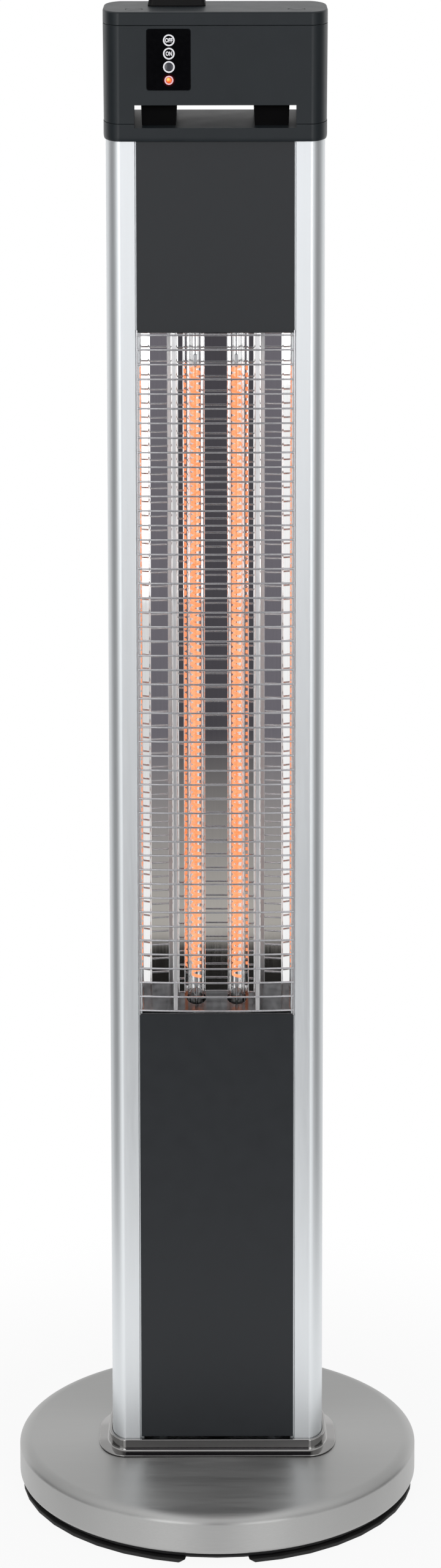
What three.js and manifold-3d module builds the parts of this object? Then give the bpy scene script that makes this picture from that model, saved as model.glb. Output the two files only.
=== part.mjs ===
import * as THREE from 'three'
import { mergeVertices } from 'three/addons/utils/BufferGeometryUtils.js'
import Module from 'manifold-3d'

const wasm = await Module()
wasm.setup()

// Tower patio heater, in millimetres, +Z up, front towards -Y
// The origin lies on the floor under the middle of the round base

// Fits shared by all pieces
const seatGap = 0.3
const runGap = 0.4
const overrun = 8

// Round base
const baseRadius = 156.2
const baseTop = 36
const coverSheet = 1.2
const coverRollReach = 10
const coverRollDrop = 5.5
const coverSkirtBottom = 7.8
const coverCurl = 3.4
const coverHoleInsideBolts = 11
const trayInset = 4.2
const trayBottom = 3
const trayChamfer = 2
const ballastInset = 16
const ballastThickness = 14
const ballastPastBolts = 13
const padInset = 2.2
const padWidth = 20
const padEndSlope = 4.5
const padCount = 4
const padGapTurn = THREE.MathUtils.degToRad(8.9)
const boltRadius = 3
const boltHeadRadius = 5.5
const boltHeadHeight = 4
const boltHeadWell = 7.5
const boltInsideWeb = 15
const boltInsideBracket = 8
const boltEndAboveBase = 9

// Column plan: flat front and back between two creases, elliptical corners and straight sides
const columnWidth = 164.4
const columnDepth = 65.5
const columnFrontFromMiddle = 40.5
const creaseInset = 10.7
const cornerPastCrease = 1.9
const cornerDepth = 22
const profileWall = 2.2
const stripWidth = 11.5
const frontLipReach = 3
const backLipReach = 8
const lipThickness = 1.8
const panelSheet = 1
const panelRecess = 1.1
const panelSideGap = 1.1
const panelFlangeReach = 8
const panelFlangeInset = 10
const panelTopRoom = 0.8

// Heights along the column
const windowBottom = 384.4
const windowHeight = 521
const upperPanelHeight = 141.2
const panelFootAboveBase = 11.5

// Bracket that ties the column to the base
const bracketSheet = 4
const bracketUpright = 3
const bracketHeight = 74
const bracketFrontInset = 12.5
const bracketBackInset = 7
const weldNutRadius = 6
const weldNutHeight = 4.5

// Chrome foot collar
const collarFit = 0.5
const collarUpstandReach = 2.8
const collarUpstandHeight = 10.2
const collarFlangeReach = 10.6
const collarEdgeThickness = 0.9
const collarFilletReach = 1.4
const collarFilletHeight = 1.8
const collarSheetThickness = 1.7

// Heating chamber
const tubeSpacing = 31
const tubeBehindFront = 19
const glassRadius = 5.8
const glassWall = 1
const tubePastPlate = 13
const capSide = 17
const capHeight = 20
const plateSheet = 1.2
const reflectorSheet = 0.8
const ridgeInsideTube = 6.5
const ridgeBehindFront = 26.4
const troughBehindFront = 31
const crestPastTube = 9
const crestWidth = 5
const crestBehindFront = 25
const crestFlank = 4
const sidePanelInsideWeb = 9
const sidePanelBehindFront = 36.3
const wingInsideWeb = 2.7
const wingLipReach = 1.6
const footPlateRise = 12.8
const footPlateDepth = 35
const footPlateHole = 7.5
const coilRadius = 3.5
const coilStrandRadius = 0.55
const coilEndInset = 25
const coilCurls = 26
const cutoutRadius = 8
const cutoutHeight = 6
const cutoutBelowTop = 45

// Wire guard
const guardWires = 48
const wireRadius = 0.75
const guardInsideWeb = 1.1
const guardBow = 3.2
const guardShoulderShare = 0.52
const guardTip = 3.6
const guardTopMargin = 1.7
const guardFootMargin = 3.4
const guardBarPastTube = 15.8
const guardBarWidth = 3.1
const guardBarThickness = 1.2

// Back of the column
const ventInsideWeb = 18
const ventHeight = 3
const ventPitch = 22
const ventCount = 22
const backScrewRadius = 1.4
const backScrewHeadRadius = 3
const backScrewHeadHeight = 1.8
const backScrewLength = 5.5
const backScrewEndInset = 26
const glandAboveBase = 44
const glandBore = 4.6
const glandBarrel = 8
const glandFlange = 11.5
const glandFlangeThickness = 4.2
const glandNoseRadius = 7.6
const glandNoseLength = 9
const glandNutRadius = 12
const glandNutThickness = 3.8
const terminalWidth = 40
const terminalHeight = 18
const terminalDepth = 16
const terminalAboveBase = 110
const tiltSwitchSide = 14
const tiltSwitchHeight = 12

// Head: every level slopes up towards the back
const headGrow = 1.8
const headWall = 2.5
const headEdge = 1.2
const housingDraft = 0.5
const collarTuck = 0.3
const skirtEdgeInset = 0.8
const skirtEdgeHeight = 3.8
const skirtRake = THREE.MathUtils.degToRad(11)
const seamRake = THREE.MathUtils.degToRad(12.2)
const trayRake = THREE.MathUtils.degToRad(14.1)
const lidSeamRake = THREE.MathUtils.degToRad(11.2)
const lidRake = THREE.MathUtils.degToRad(11.9)
const seamAboveSkirt = 12.6
const collarRoofBelowSeam = 5.5
const trayBelowSeam = 3.4
const roofAboveSeam = 14
const lidSeamAboveSkirt = 85.1
const lidAboveLidSeam = 9.75
const slotFlare = 1.9
const ductInsideSlot = 4.7
const ductWidth = 26.6
const ductInset = 11
const ductTaper = 0.7
const ductWall = 2.5

// Lid screws and the posts that take them
const lidScrewSideInset = 21.7
const lidScrewEndInset = 17
const lidScrewHeadRadius = 6.25
const lidScrewHeadHeight = 1.9
const lidScrewShankRadius = 2
const lidScrewLength = 22
const lidPostRadius = 7.5
const housingPostRadius = 5.5
const housingPostLean = 3.4

// Control panel on the head's front
const fasciaBesideCrease = 20.95
const fasciaWidth = 33
const fasciaHeight = 44.3
const fasciaCornerRadius = 1.8
const fasciaThickness = 1.4
const fasciaProud = 0.2
const fasciaTopBelowLidSeam = 2.9
const keyPitch = 9.73
const keyOffMiddle = 0.2
const keyGap = 0.2
const firstKeyBelowFasciaTop = 8
const keyRadius = 3
const keyFlangeRadius = 4.3
const keyFlangeThickness = 1
const keyProud = 0.25
const keyStemRadius = 2
const keyTravel = 0.8
const keySwitchHeight = 2.1
const lampRadius = 2.15
const lampProud = 0.15
const boardSheet = 1.6
const boardBehindFront = 10
const boardWidth = 28
const boardHeight = 45
const boardPostRadius = 2.2
const boardPostX = 11
const boardPostZ = 18
const relayWidth = 20
const relayHeight = 15
const relayDepth = 12
const keyWindowHalfWidth = 6

// Mains rocker switch on the lid
const switchBesideCrease = 20.75
const switchFootHalfX = 21.8
const switchFootHalfY = 15.5
const switchFromBack = 5.7
const switchTopHalfX = 19.9
const switchTopHalfY = 13.2
const switchFlareHeight = 4.6
const switchFlareReach = 2
const switchHeight = 15
const switchCornerRadius = 4
const switchTopSheet = 4
const switchWall = 3
const switchEdge = 0.9
const rockerHalfLength = 12
const rockerHalfWidth = 7.2
const rockerLobeHeight = 4
const rockerSaddleHeight = 2.3
const rockerBellyDepth = 3.2
const rockerBellyHalf = 8
const rockerSwing = THREE.MathUtils.degToRad(8)
const rockerEndRoom = 1.4
const rockerPivotBelowTop = 1.9
const rockerPinRadius = 1
const rockerPinSeat = 2.2
const lidWireHoleHalfX = 12
const lidWireHoleHalfY = 8

// How finely round forms are cut
const baseSides = 48
const rodSides = 16
const tubeSides = 16
const screwSides = 10
const pinSides = 8
const hexSides = 6
const cornerSteps = 2
const planSteps = 7
const padSteps = 8
const rollSteps = 3
const troughSteps = 4
const coilStepsPerCurl = 8
const coilSides = 5

// Levels and faces that several pieces share
const half = 0.5
const frontFace = -columnFrontFromMiddle
const backFace = frontFace + columnDepth
const columnMiddle = (frontFace + backFace) * half
const mirrored = (y) => frontFace + backFace - y
const panelFront = frontFace + panelRecess
const panelBack = panelFront + panelSheet
const frontLipFront = panelBack + seatGap
const frontLipBack = frontLipFront + lipThickness
const windowTop = windowBottom + windowHeight
const skirtFront = windowTop + upperPanelHeight
const columnFoot = baseTop + seatGap
const creaseX = columnWidth * half - creaseInset
const webFace = creaseX - stripWidth
const slotHalfWidth = webFace
const headFront = frontFace - headGrow
const headBack = backFace + headGrow

// A level that slopes up to the back, given by its height at the head's front
const sloped = (front, rake) => (y) => front + (y - headFront) * Math.tan(rake)
const raised = (level, rise) => (y) => level(y) + rise
const flat = (height) => () => height
const skirtLevel = sloped(skirtFront, skirtRake)
const seamLevel = sloped(skirtFront + seamAboveSkirt, seamRake)
const collarRoofLevel = raised(seamLevel, -collarRoofBelowSeam)
const trayLevel = sloped(skirtFront + seamAboveSkirt - trayBelowSeam, trayRake)
const roofLevel = raised(seamLevel, roofAboveSeam)
const lidSeamLevel = sloped(skirtFront + lidSeamAboveSkirt, lidSeamRake)
const lidTopFront = skirtFront + lidSeamAboveSkirt + lidAboveLidSeam
const lidTopLevel = sloped(lidTopFront, lidRake)

// Finishes, with colours as in the photograph
const look = (color, roughness, metalness, extra = {}) =>
  new THREE.MeshStandardMaterial({ color, roughness, metalness, ...extra })
const looks = {
  satinAluminium: look(0xcfd2d3, 0.42, 0.75),
  charcoalPaint: look(0x33363a, 0.5, 0.2),
  charcoalPlastic: look(0x3a3d42, 0.55, 0),
  glossBlack: look(0x0b0b0d, 0.08, 0),
  blackPlastic: look(0x1d1e20, 0.6, 0),
  blackRubber: look(0x161616, 0.85, 0),
  brushedSteel: look(0x8f9194, 0.34, 1),
  chrome: look(0xdfe2e4, 0.08, 1),
  mirrorAluminium: look(0xc9cbd0, 0.1, 1),
  castIron: look(0x3b3a39, 0.8, 0.6),
  zincSteel: look(0xa9adb0, 0.45, 0.9),
  guardWire: look(0xa7a9ab, 0.3, 1),
  quartz: look(0xf2f4f5, 0.05, 0, { transparent: true, opacity: 0.35 }),
  glow: look(0xff7a2e, 0.6, 0, { emissive: 0xff5a1c, emissiveIntensity: 1 }),
  ceramic: look(0xe8e3d6, 0.7, 0),
  smokedLens: look(0x5b5a60, 0.25, 0),
  lampLens: look(0xff5130, 0.2, 0, { emissive: 0xff3a1c, emissiveIntensity: 1 }),
  circuitBoard: look(0x1f5a35, 0.5, 0),
}

// Drops doubled corners and empty faces, and turns the faces outwards
function closed(geometry) {
  const bare = new THREE.BufferGeometry()
  bare.setAttribute('position', geometry.getAttribute('position').clone())
  if (geometry.index) bare.setIndex(geometry.index.clone())
  const merged = mergeVertices(bare)
  const at = merged.getAttribute('position')
  const [a, b, c] = [new THREE.Vector3(), new THREE.Vector3(), new THREE.Vector3()]
  const faces = []
  let volume = 0
  for (let corner = 0; corner < merged.index.count; corner += 3) {
    const [i, j, k] = [0, 1, 2].map((step) => merged.index.getX(corner + step))
    if (i === j || j === k || k === i) continue
    faces.push([i, j, k])
    volume += a.fromBufferAttribute(at, i).dot(b.fromBufferAttribute(at, j).cross(c.fromBufferAttribute(at, k)))
  }
  const index = faces.flatMap(([i, j, k]) => (volume < 0 ? [i, k, j] : [i, j, k]))
  merged.setIndex(index)
  return merged
}

function solid(geometry) {
  const shell = closed(geometry)
  const mesh = new wasm.Mesh({
    numProp: 3,
    vertProperties: shell.getAttribute('position').array,
    triVerts: Uint32Array.from(shell.index.array),
  })
  return new wasm.Manifold(mesh)
}

function geometryOf(body) {
  const mesh = body.getMesh()
  const geometry = new THREE.BufferGeometry()
  geometry.setAttribute('position', new THREE.BufferAttribute(mesh.vertProperties, 3))
  geometry.setIndex(new THREE.BufferAttribute(mesh.triVerts, 1))
  geometry.computeVertexNormals()
  return geometry
}

const heater = new THREE.Group()

// Adds one named piece, from a geometry or from a joined and cut solid
function addPiece(name, shape, material, parent = heater) {
  const geometry = shape.isBufferGeometry ? closed(shape) : geometryOf(shape)
  if (!geometry.getAttribute('normal')) geometry.computeVertexNormals()
  const mesh = new THREE.Mesh(geometry, material)
  mesh.name = name
  parent.add(mesh)
  return mesh
}

// Surface through rings of equal length, capped at both ends, or joined end to start
function loft(rings, joined = false) {
  const count = rings[0].length
  const faces = []
  const bands = joined ? rings.length : rings.length - 1
  for (let band = 0; band < bands; band++) {
    const low = band * count
    const high = ((band + 1) % rings.length) * count
    for (let step = 0; step < count; step++) {
      const next = (step + 1) % count
      faces.push(low + step, low + next, high + next, low + step, high + next, high + step)
    }
  }
  const last = (rings.length - 1) * count
  for (let step = 1; step < count - 1 && !joined; step++) {
    faces.push(0, step + 1, step, last, last + step, last + step + 1)
  }
  const geometry = new THREE.BufferGeometry()
  geometry.setAttribute('position', new THREE.Float32BufferAttribute(rings.flat(2), 3))
  geometry.setIndex(faces)
  return geometry
}

// Plan outline moved outwards by grow, at the height that level gives for each y
const cornerReach = creaseInset + cornerPastCrease
const creaseAngle = Math.acos(cornerPastCrease / cornerReach)
function planRing(grow, level) {
  const centreX = columnWidth * half - cornerReach
  const centreY = frontFace + cornerDepth * Math.sin(creaseAngle)
  const corner = []
  for (let step = 0; step <= planSteps; step++) {
    const angle = creaseAngle * (1 - step / planSteps)
    const [x, y] = [cornerReach * Math.cos(angle), -cornerDepth * Math.sin(angle)]
    const normal = new THREE.Vector2(x / cornerReach ** 2, y / cornerDepth ** 2).normalize()
    const mitre = 1 - normal.y
    const out = step === 0 ? new THREE.Vector2(normal.x / mitre, -1) : normal
    corner.push([centreX + x + grow * out.x, centreY + y + grow * out.y])
  }
  const right = [...corner, ...corner.map(([x, y]) => [x, mirrored(y)]).reverse()]
  const left = right.map(([x, y]) => [-x, mirrored(y)])
  return [...right, ...left].map(([x, y]) => [x, y, level(y)])
}

// Rectangle with its corners at the heights that level gives
function boxRing(x0, x1, y0, y1, level) {
  return [
    [x0, y0, level(y0)],
    [x1, y0, level(y0)],
    [x1, y1, level(y1)],
    [x0, y1, level(y1)],
  ]
}

function block(x0, x1, y0, y1, z0, z1) {
  const geometry = new THREE.BoxGeometry(x1 - x0, y1 - y0, z1 - z0)
  geometry.translate((x0 + x1) * half, (y0 + y1) * half, (z0 + z1) * half)
  return solid(geometry)
}

function slopedBlock(x0, x1, y0, y1, low, high) {
  return solid(loft([boxRing(x0, x1, y0, y1, low), boxRing(x0, x1, y0, y1, high)]))
}

const reach = columnWidth
const skyLevel = flat(lidTopFront + columnWidth)
const above = (level) => slopedBlock(-reach, reach, -reach, reach, level, skyLevel)

// Upright rod between two heights
function rodZ(radius, x, y, z0, z1, sides = rodSides) {
  const geometry = new THREE.CylinderGeometry(radius, radius, z1 - z0, sides)
  geometry.rotateX(Math.PI * half)
  geometry.translate(x, y, (z0 + z1) * half)
  return solid(geometry)
}

// Rod from front to back between two y values
function rodY(radius, x, z, y0, y1, sides = rodSides) {
  const geometry = new THREE.CylinderGeometry(radius, radius, y1 - y0, sides)
  geometry.translate(x, (y0 + y1) * half, z)
  return solid(geometry)
}

// Turned form about the z axis from [radius, height] points
function turned(points, sides) {
  const geometry = new THREE.LatheGeometry(points.map(([r, z]) => new THREE.Vector2(r, z)), sides)
  geometry.rotateX(Math.PI * half)
  return geometry
}

// Points of a quarter of an ellipse, from its outer end up to its top
function quarter(centreR, centreZ, radiusR, radiusZ) {
  const points = []
  for (let step = 0; step <= rollSteps; step++) {
    const angle = (step / rollSteps) * Math.PI * half
    points.push([centreR + radiusR * Math.cos(angle), centreZ + radiusZ * Math.sin(angle)])
  }
  return points
}

// Base: cover, tray, ballast, pads and bolts
const trayTop = coverSkirtBottom - seatGap
const ballastBottom = trayTop + seatGap
const ballastTop = ballastBottom + ballastThickness
const bossTop = baseTop - coverSheet - seatGap
const [bracketFront, bracketBack] = [frontFace + bracketFrontInset, backFace - bracketBackInset]
const boltX = webFace - boltInsideWeb
const boltLines = [bracketFront + boltInsideBracket, bracketBack - boltInsideBracket]
const boltPlaces = [boltX, -boltX].flatMap((x) => boltLines.map((y) => [x, y]))
const coverHoleRadius = boltX - coverHoleInsideBolts
const trayRadius = baseRadius - trayInset
const ballastRadius = baseRadius - ballastInset
const ballastBossRadius = Math.hypot(boltX, boltLines[0]) + ballastPastBolts
const padOuterRadius = baseRadius - padInset
const padInnerRadius = padOuterRadius - padWidth
const boltHoleRadius = boltRadius + runGap
const drilled = (body, radius, z0, z1) =>
  boltPlaces.reduce((rest, [x, y]) => rest.subtract(rodZ(radius, x, y, z0, z1)), body)

// Section across a pad, with its lower edge turned on by slope
function padSection(turn, slope) {
  const corner = (radius, angle, height) => [radius * Math.cos(angle), radius * Math.sin(angle), height]
  const padTop = trayBottom - seatGap
  return [
    corner(padInnerRadius, turn + slope, 0),
    corner(padInnerRadius, turn, padTop),
    corner(padOuterRadius, turn, padTop),
    corner(padOuterRadius, turn + slope, 0),
  ]
}

function makeBase() {
  const rollCentre = baseRadius - coverRollReach
  const rollHeight = baseTop - coverRollDrop
  const [innerReach, innerDrop] = [coverRollReach - coverSheet, coverRollDrop - coverSheet]
  const curlEdge = coverSkirtBottom + coverCurl
  const cover = turned(
    [
      [coverHoleRadius, baseTop - coverSheet],
      ...quarter(rollCentre, rollHeight, innerReach, innerDrop).reverse(),
      [baseRadius - coverSheet, curlEdge],
      [baseRadius - coverCurl, coverSkirtBottom + coverSheet],
      [baseRadius - coverCurl, coverSkirtBottom],
      [baseRadius - coverSheet, coverSkirtBottom + coverSheet * half],
      [baseRadius, curlEdge],
      ...quarter(rollCentre, rollHeight, coverRollReach, coverRollDrop),
      [coverHoleRadius, baseTop],
      [coverHoleRadius, baseTop - coverSheet],
    ],
    baseSides,
  )
  addPiece('base_cover', drilled(solid(cover), boltHoleRadius, bossTop, baseTop + overrun), looks.brushedSteel)

  const tray = turned(
    [
      [0, trayBottom],
      [trayRadius - trayChamfer, trayBottom],
      [trayRadius, trayBottom + trayChamfer],
      [trayRadius, trayTop],
      [0, trayTop],
    ],
    baseSides,
  )
  addPiece('base_tray', drilled(solid(tray), boltHeadWell, -overrun, trayTop + overrun), looks.blackPlastic)

  const ballast = turned(
    [
      [0, ballastBottom],
      [ballastRadius, ballastBottom],
      [ballastRadius, ballastTop],
      [ballastBossRadius, ballastTop],
      [ballastBossRadius, bossTop],
      [0, bossTop],
    ],
    baseSides,
  )
  addPiece('ballast_plate', drilled(solid(ballast), boltHoleRadius, 0, baseTop), looks.castIron)

  for (let pad = 0; pad < padCount; pad++) {
    const from = pad * Math.PI * half + padGapTurn
    const to = (pad + 1) * Math.PI * half - padGapTurn
    const slope = padEndSlope / padOuterRadius
    const sections = [padSection(from, slope)]
    for (let step = 1; step < padSteps; step++) {
      sections.push(padSection(from + ((to - from) * step) / padSteps, 0))
    }
    sections.push(padSection(to, -slope))
    addPiece(`foot_pad_${pad + 1}`, solid(loft(sections)), looks.blackRubber)
  }

  boltPlaces.forEach(([x, y], number) => {
    const headTop = ballastBottom - seatGap
    const head = rodZ(boltHeadRadius, x, y, headTop - boltHeadHeight, headTop, hexSides)
    const shankFoot = headTop - boltHeadHeight * half
    const shank = rodZ(boltRadius, x, y, shankFoot, baseTop + boltEndAboveBase, screwSides)
    addPiece(`base_bolt_${number + 1}`, head.add(shank), looks.zincSteel)
  })
}

// Steel bracket on the base that the column slides over
function makeBracket() {
  const top = columnFoot + bracketSheet
  const outer = webFace - seatGap
  let bracket = block(-outer, outer, bracketFront, bracketBack, columnFoot, top)
  for (const side of [1, -1]) {
    const faces = [side * outer, side * (outer - bracketUpright)].sort((p, q) => p - q)
    bracket = bracket.add(block(...faces, bracketFront, bracketBack, columnFoot, columnFoot + bracketHeight))
  }
  for (const [x, y] of boltPlaces) {
    const nutFoot = columnFoot + bracketSheet * half
    bracket = bracket.add(rodZ(weldNutRadius, x, y, nutFoot, top + weldNutHeight, hexSides))
  }
  addPiece('column_bracket', drilled(bracket, boltHoleRadius, 0, top + overrun), looks.zincSteel)
  const side = tiltSwitchSide * half
  const seat = top + seatGap
  const middle = (bracketFront + bracketBack) * half
  const tilt = block(-side, side, middle - side, middle + side, seat, seat + tiltSwitchHeight)
  addPiece('tilt_switch', tilt, looks.blackPlastic)
}

// Chrome collar: a ring section swept round the column's plan
function makeFootCollar() {
  const low = baseTop + seatGap
  const section = [
    [collarFit, low],
    [collarFlangeReach, low],
    [collarFlangeReach, low + collarEdgeThickness],
    [collarUpstandReach + collarFilletReach, low + collarSheetThickness],
    [collarUpstandReach, low + collarSheetThickness + collarFilletHeight],
    [collarUpstandReach, low + collarUpstandHeight - collarFit],
    [collarUpstandReach - collarFit, low + collarUpstandHeight],
    [collarFit, low + collarUpstandHeight],
  ]
  const rings = section.map(([grow, height]) => planRing(grow, flat(height)))
  addPiece('foot_collar', loft(rings, true), looks.chrome)
}

// Aluminium profiles: closed side chambers with lips that the panels rest on
function makeProfile(name, side) {
  const inner = webFace + profileWall
  const profileTop = raised(collarRoofLevel, -seatGap)
  const span = (from, to) => [side * from, side * to].sort((p, q) => p - q)
  const tall = flat(skirtFront + columnDepth)
  const outer = solid(loft([planRing(0, flat(columnFoot)), planRing(0, tall)]))
  const chamber = solid(loft([planRing(-profileWall, flat(0)), planRing(-profileWall, raised(tall, overrun))]))
  const tallest = skirtFront + columnDepth + 2 * overrun
  let profile = outer.intersect(block(...span(webFace, reach), -reach, reach, 0, tallest))
  profile = profile.subtract(chamber.intersect(block(...span(inner, reach), -reach, reach, -overrun, tallest)))
  const top = skirtFront + columnDepth
  const frontSpan = span(webFace - frontLipReach, webFace + profileWall * half)
  const backSpan = span(webFace - backLipReach, webFace + profileWall * half)
  profile = profile.add(block(...frontSpan, frontLipFront, frontLipBack, columnFoot, top))
  profile = profile.add(block(...backSpan, mirrored(frontLipBack), mirrored(frontLipFront), columnFoot, top))
  profile = profile.subtract(above(profileTop))
  for (const height of backScrewHeights) {
    const [from, to] = [columnMiddle, backFace + overrun]
    const hole = rodY(backScrewRadius + runGap, side * backScrewX, height, from, to, pinSides)
    profile = profile.subtract(hole)
  }
  addPiece(name, profile, looks.satinAluminium)
}

// Sheet panels between the front strips, with flanges behind the lips
const panelHalf = webFace - panelSideGap
function makeFrontPanel(name, bottom, top) {
  const flangeOuter = webFace - frontLipReach - seatGap
  let panel = block(-panelHalf, panelHalf, panelFront, panelBack, bottom, top)
  for (const side of [1, -1]) {
    const faces = [side * flangeOuter, side * (flangeOuter - panelSheet)].sort((p, q) => p - q)
    const [front, back] = [panelFront + panelSheet * half, panelBack + panelFlangeReach]
    panel = panel.add(block(...faces, front, back, bottom + panelFlangeInset, top - panelFlangeInset))
  }
  addPiece(name, panel, looks.charcoalPaint)
}

// Back cover with vent slots, its screws and the cable gland
const panelFoot = baseTop + panelFootAboveBase
const backCoverTop = collarRoofLevel(backFace) - panelTopRoom
const backScrewX = webFace - backLipReach * half
const backScrewHeights = [panelFoot + backScrewEndInset, backCoverTop - backScrewEndInset]
const glandZ = baseTop + glandAboveBase
function makeBack() {
  const [inside, outside] = [mirrored(panelBack), mirrored(panelFront)]
  let cover = block(-panelHalf, panelHalf, inside, outside, panelFoot, backCoverTop)
  const firstVent = windowBottom + (windowHeight - (ventCount - 1) * ventPitch) * half
  const ventHalf = webFace - ventInsideWeb
  for (let vent = 0; vent < ventCount; vent++) {
    const middle = firstVent + vent * ventPitch
    const edge = ventHeight * half
    const slot = block(-ventHalf, ventHalf, columnMiddle, reach, middle - edge, middle + edge)
    cover = cover.subtract(slot)
  }
  cover = cover.subtract(rodY(glandBarrel + seatGap, 0, glandZ, columnMiddle, reach))
  let number = 0
  for (const side of [1, -1]) {
    for (const height of backScrewHeights) {
      const x = side * backScrewX
      cover = cover.subtract(rodY(backScrewRadius + runGap, x, height, columnMiddle, reach, pinSides))
      const under = outside + seatGap
      const head = rodY(backScrewHeadRadius, x, height, under, under + backScrewHeadHeight, screwSides)
      const shankEnd = under + backScrewHeadHeight * half
      const shank = rodY(backScrewRadius, x, height, under - backScrewLength, shankEnd, pinSides)
      number += 1
      addPiece(`back_screw_${number}`, head.add(shank), looks.zincSteel)
    }
  }
  addPiece('back_cover', cover, looks.charcoalPaint)

  const nutFace = inside - seatGap
  const flangeFace = outside + seatGap
  const noseStart = flangeFace + glandFlangeThickness
  const gland = turned(
    [
      [glandBore, nutFace - glandNutThickness],
      [glandNutRadius, nutFace - glandNutThickness],
      [glandNutRadius, nutFace],
      [glandBarrel, nutFace],
      [glandBarrel, flangeFace],
      [glandFlange, flangeFace],
      [glandFlange, noseStart],
      [glandBarrel + seatGap, noseStart + seatGap],
      [glandNoseRadius, noseStart + glandNoseLength],
      [glandBore, noseStart + glandNoseLength],
      [glandBore, nutFace - glandNutThickness],
    ],
    tubeSides,
  )
  gland.rotateX(-Math.PI * half)
  gland.translate(0, 0, glandZ)
  addPiece('cable_gland', gland, looks.blackPlastic)

  const blockBack = inside - seatGap
  const low = baseTop + terminalAboveBase
  const terminals = [-terminalWidth * half, terminalWidth * half, blockBack - terminalDepth, blockBack]
  addPiece('terminal_block', block(...terminals, low, low + terminalHeight), looks.ceramic)
}

// Reflector: one polished sheet bent round both tubes, open to the front
const tubeX = tubeSpacing * half
const tubeY = frontFace + tubeBehindFront
const crestInner = tubeX + crestPastTube
const crestOuter = crestInner + crestWidth
const sidePanelInner = crestOuter + crestFlank
const sidePanelOuter = webFace - sidePanelInsideWeb
const sidePanelY = frontFace + sidePanelBehindFront
const wingEdge = webFace - wingInsideWeb
const footPlateFront = frontLipBack + seatGap
const footPlateBack = frontFace + footPlateDepth
const footSlope = Math.atan2(footPlateRise, footPlateBack - footPlateFront)
const footLow = windowBottom + plateSheet
const footLevel = (y) => footLow + (y - footPlateFront) * Math.tan(footSlope)
const chamberTop = windowTop
const chamberFloor = windowBottom - plateSheet

function sheetOutline(points, thickness) {
  const along = points.slice(1).map(([x, y], step) => {
    const [fromX, fromY] = points[step]
    const length = Math.hypot(x - fromX, y - fromY)
    return [(x - fromX) / length, (y - fromY) / length]
  })
  const back = points.map(([x, y], step) => {
    const [ax, ay] = along[Math.max(step - 1, 0)]
    const [bx, by] = along[Math.min(step, along.length - 1)]
    const [nx, ny] = [-(ay + by), ax + bx]
    const scale = thickness / (nx * -by + ny * bx)
    return [x + nx * scale, y + ny * scale]
  })
  return [...points, ...back.reverse()]
}

function makeReflector() {
  const crestY = frontFace + crestBehindFront
  const trough = []
  for (let step = -troughSteps; step <= troughSteps; step++) {
    const share = step / troughSteps
    const [reach, rim] = step < 0 ? [ridgeInsideTube, ridgeBehindFront] : [crestPastTube, crestBehindFront]
    const rise = (troughBehindFront - rim) * share ** 2
    trough.push([tubeX + reach * share, frontFace + troughBehindFront - rise])
  }
  const rightHalf = [
    ...trough,
    [crestOuter, crestY],
    [sidePanelInner, sidePanelY],
    [sidePanelOuter, sidePanelY],
    [wingEdge, frontLipBack + wingLipReach + seatGap],
    [wingEdge + wingLipReach, frontLipBack + seatGap],
  ]
  const leftHalf = rightHalf.map(([x, y]) => [-x, y]).reverse()
  const outline = sheetOutline([...leftHalf, ...rightHalf], reflectorSheet)
  const shape = new THREE.Shape(outline.map(([x, y]) => new THREE.Vector2(x, y)))
  const height = chamberTop - seatGap - chamberFloor
  const sheet = new THREE.ExtrudeGeometry(shape, { depth: height, bevelEnabled: false })
  sheet.translate(0, 0, chamberFloor)
  const footTop = raised(footLevel, reflectorSheet)
  const belowFoot = slopedBlock(-reach, reach, -reach, reach, flat(0), raised(footTop, seatGap))
  addPiece('reflector', solid(sheet).subtract(belowFoot), looks.mirrorAluminium)

  const width = wingEdge + wingLipReach
  let foot = slopedBlock(-width, width, footPlateFront, footPlateBack, footLevel, footTop)
  const flangeBack = footPlateFront + reflectorSheet
  const flangeTop = footLow + reflectorSheet * half
  foot = foot.add(block(-width, width, footPlateFront, flangeBack, windowBottom + seatGap, flangeTop))
  for (const side of [1, -1]) {
    foot = foot.subtract(rodZ(footPlateHole, side * tubeX, tubeY, chamberFloor, windowTop, tubeSides))
  }
  addPiece('reflector_foot', foot, looks.mirrorAluminium)

  const seat = sidePanelY + reflectorSheet + seatGap
  const [x, z] = [(sidePanelInner + sidePanelOuter) * half, windowTop - cutoutBelowTop]
  addPiece('thermal_cutout', rodY(cutoutRadius, x, z, seat, seat + cutoutHeight), looks.blackPlastic)
}

// Plates that close the chamber, each with two tube holes
function makeChamberPlates() {
  const [edge, front] = [webFace - runGap, frontLipBack + seatGap]
  for (const [name, low] of [['chamber_top_plate', chamberTop], ['chamber_bottom_plate', chamberFloor]]) {
    let plate = block(-edge, edge, front, mirrored(front), low, low + plateSheet)
    for (const side of [1, -1]) {
      const [from, to] = [low - overrun, low + overrun]
      plate = plate.subtract(rodZ(glassRadius + runGap, side * tubeX, tubeY, from, to, tubeSides))
    }
    addPiece(name, plate, looks.zincSteel)
  }
}

// Middle line of the spiral, about its own axis
function coilPoints(side) {
  const steps = coilCurls * coilStepsPerCurl
  const climb = windowHeight - 2 * coilEndInset
  const points = []
  for (let step = 0; step <= steps; step++) {
    const angle = (side * step * 2 * Math.PI) / coilStepsPerCurl
    const height = windowBottom + coilEndInset + (climb * step) / steps
    points.push(new THREE.Vector3(coilRadius * Math.cos(angle), coilRadius * Math.sin(angle), height))
  }
  return points
}

// Least clear distance between stretches of the spiral that are half a curl or more apart
function leastGap(points) {
  const away = coilStepsPerCurl * half
  let least = Infinity
  points.forEach((point, place) => {
    for (const other of points.slice(place + away)) least = Math.min(least, point.distanceTo(other))
  })
  return least - 2 * coilStrandRadius
}

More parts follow.
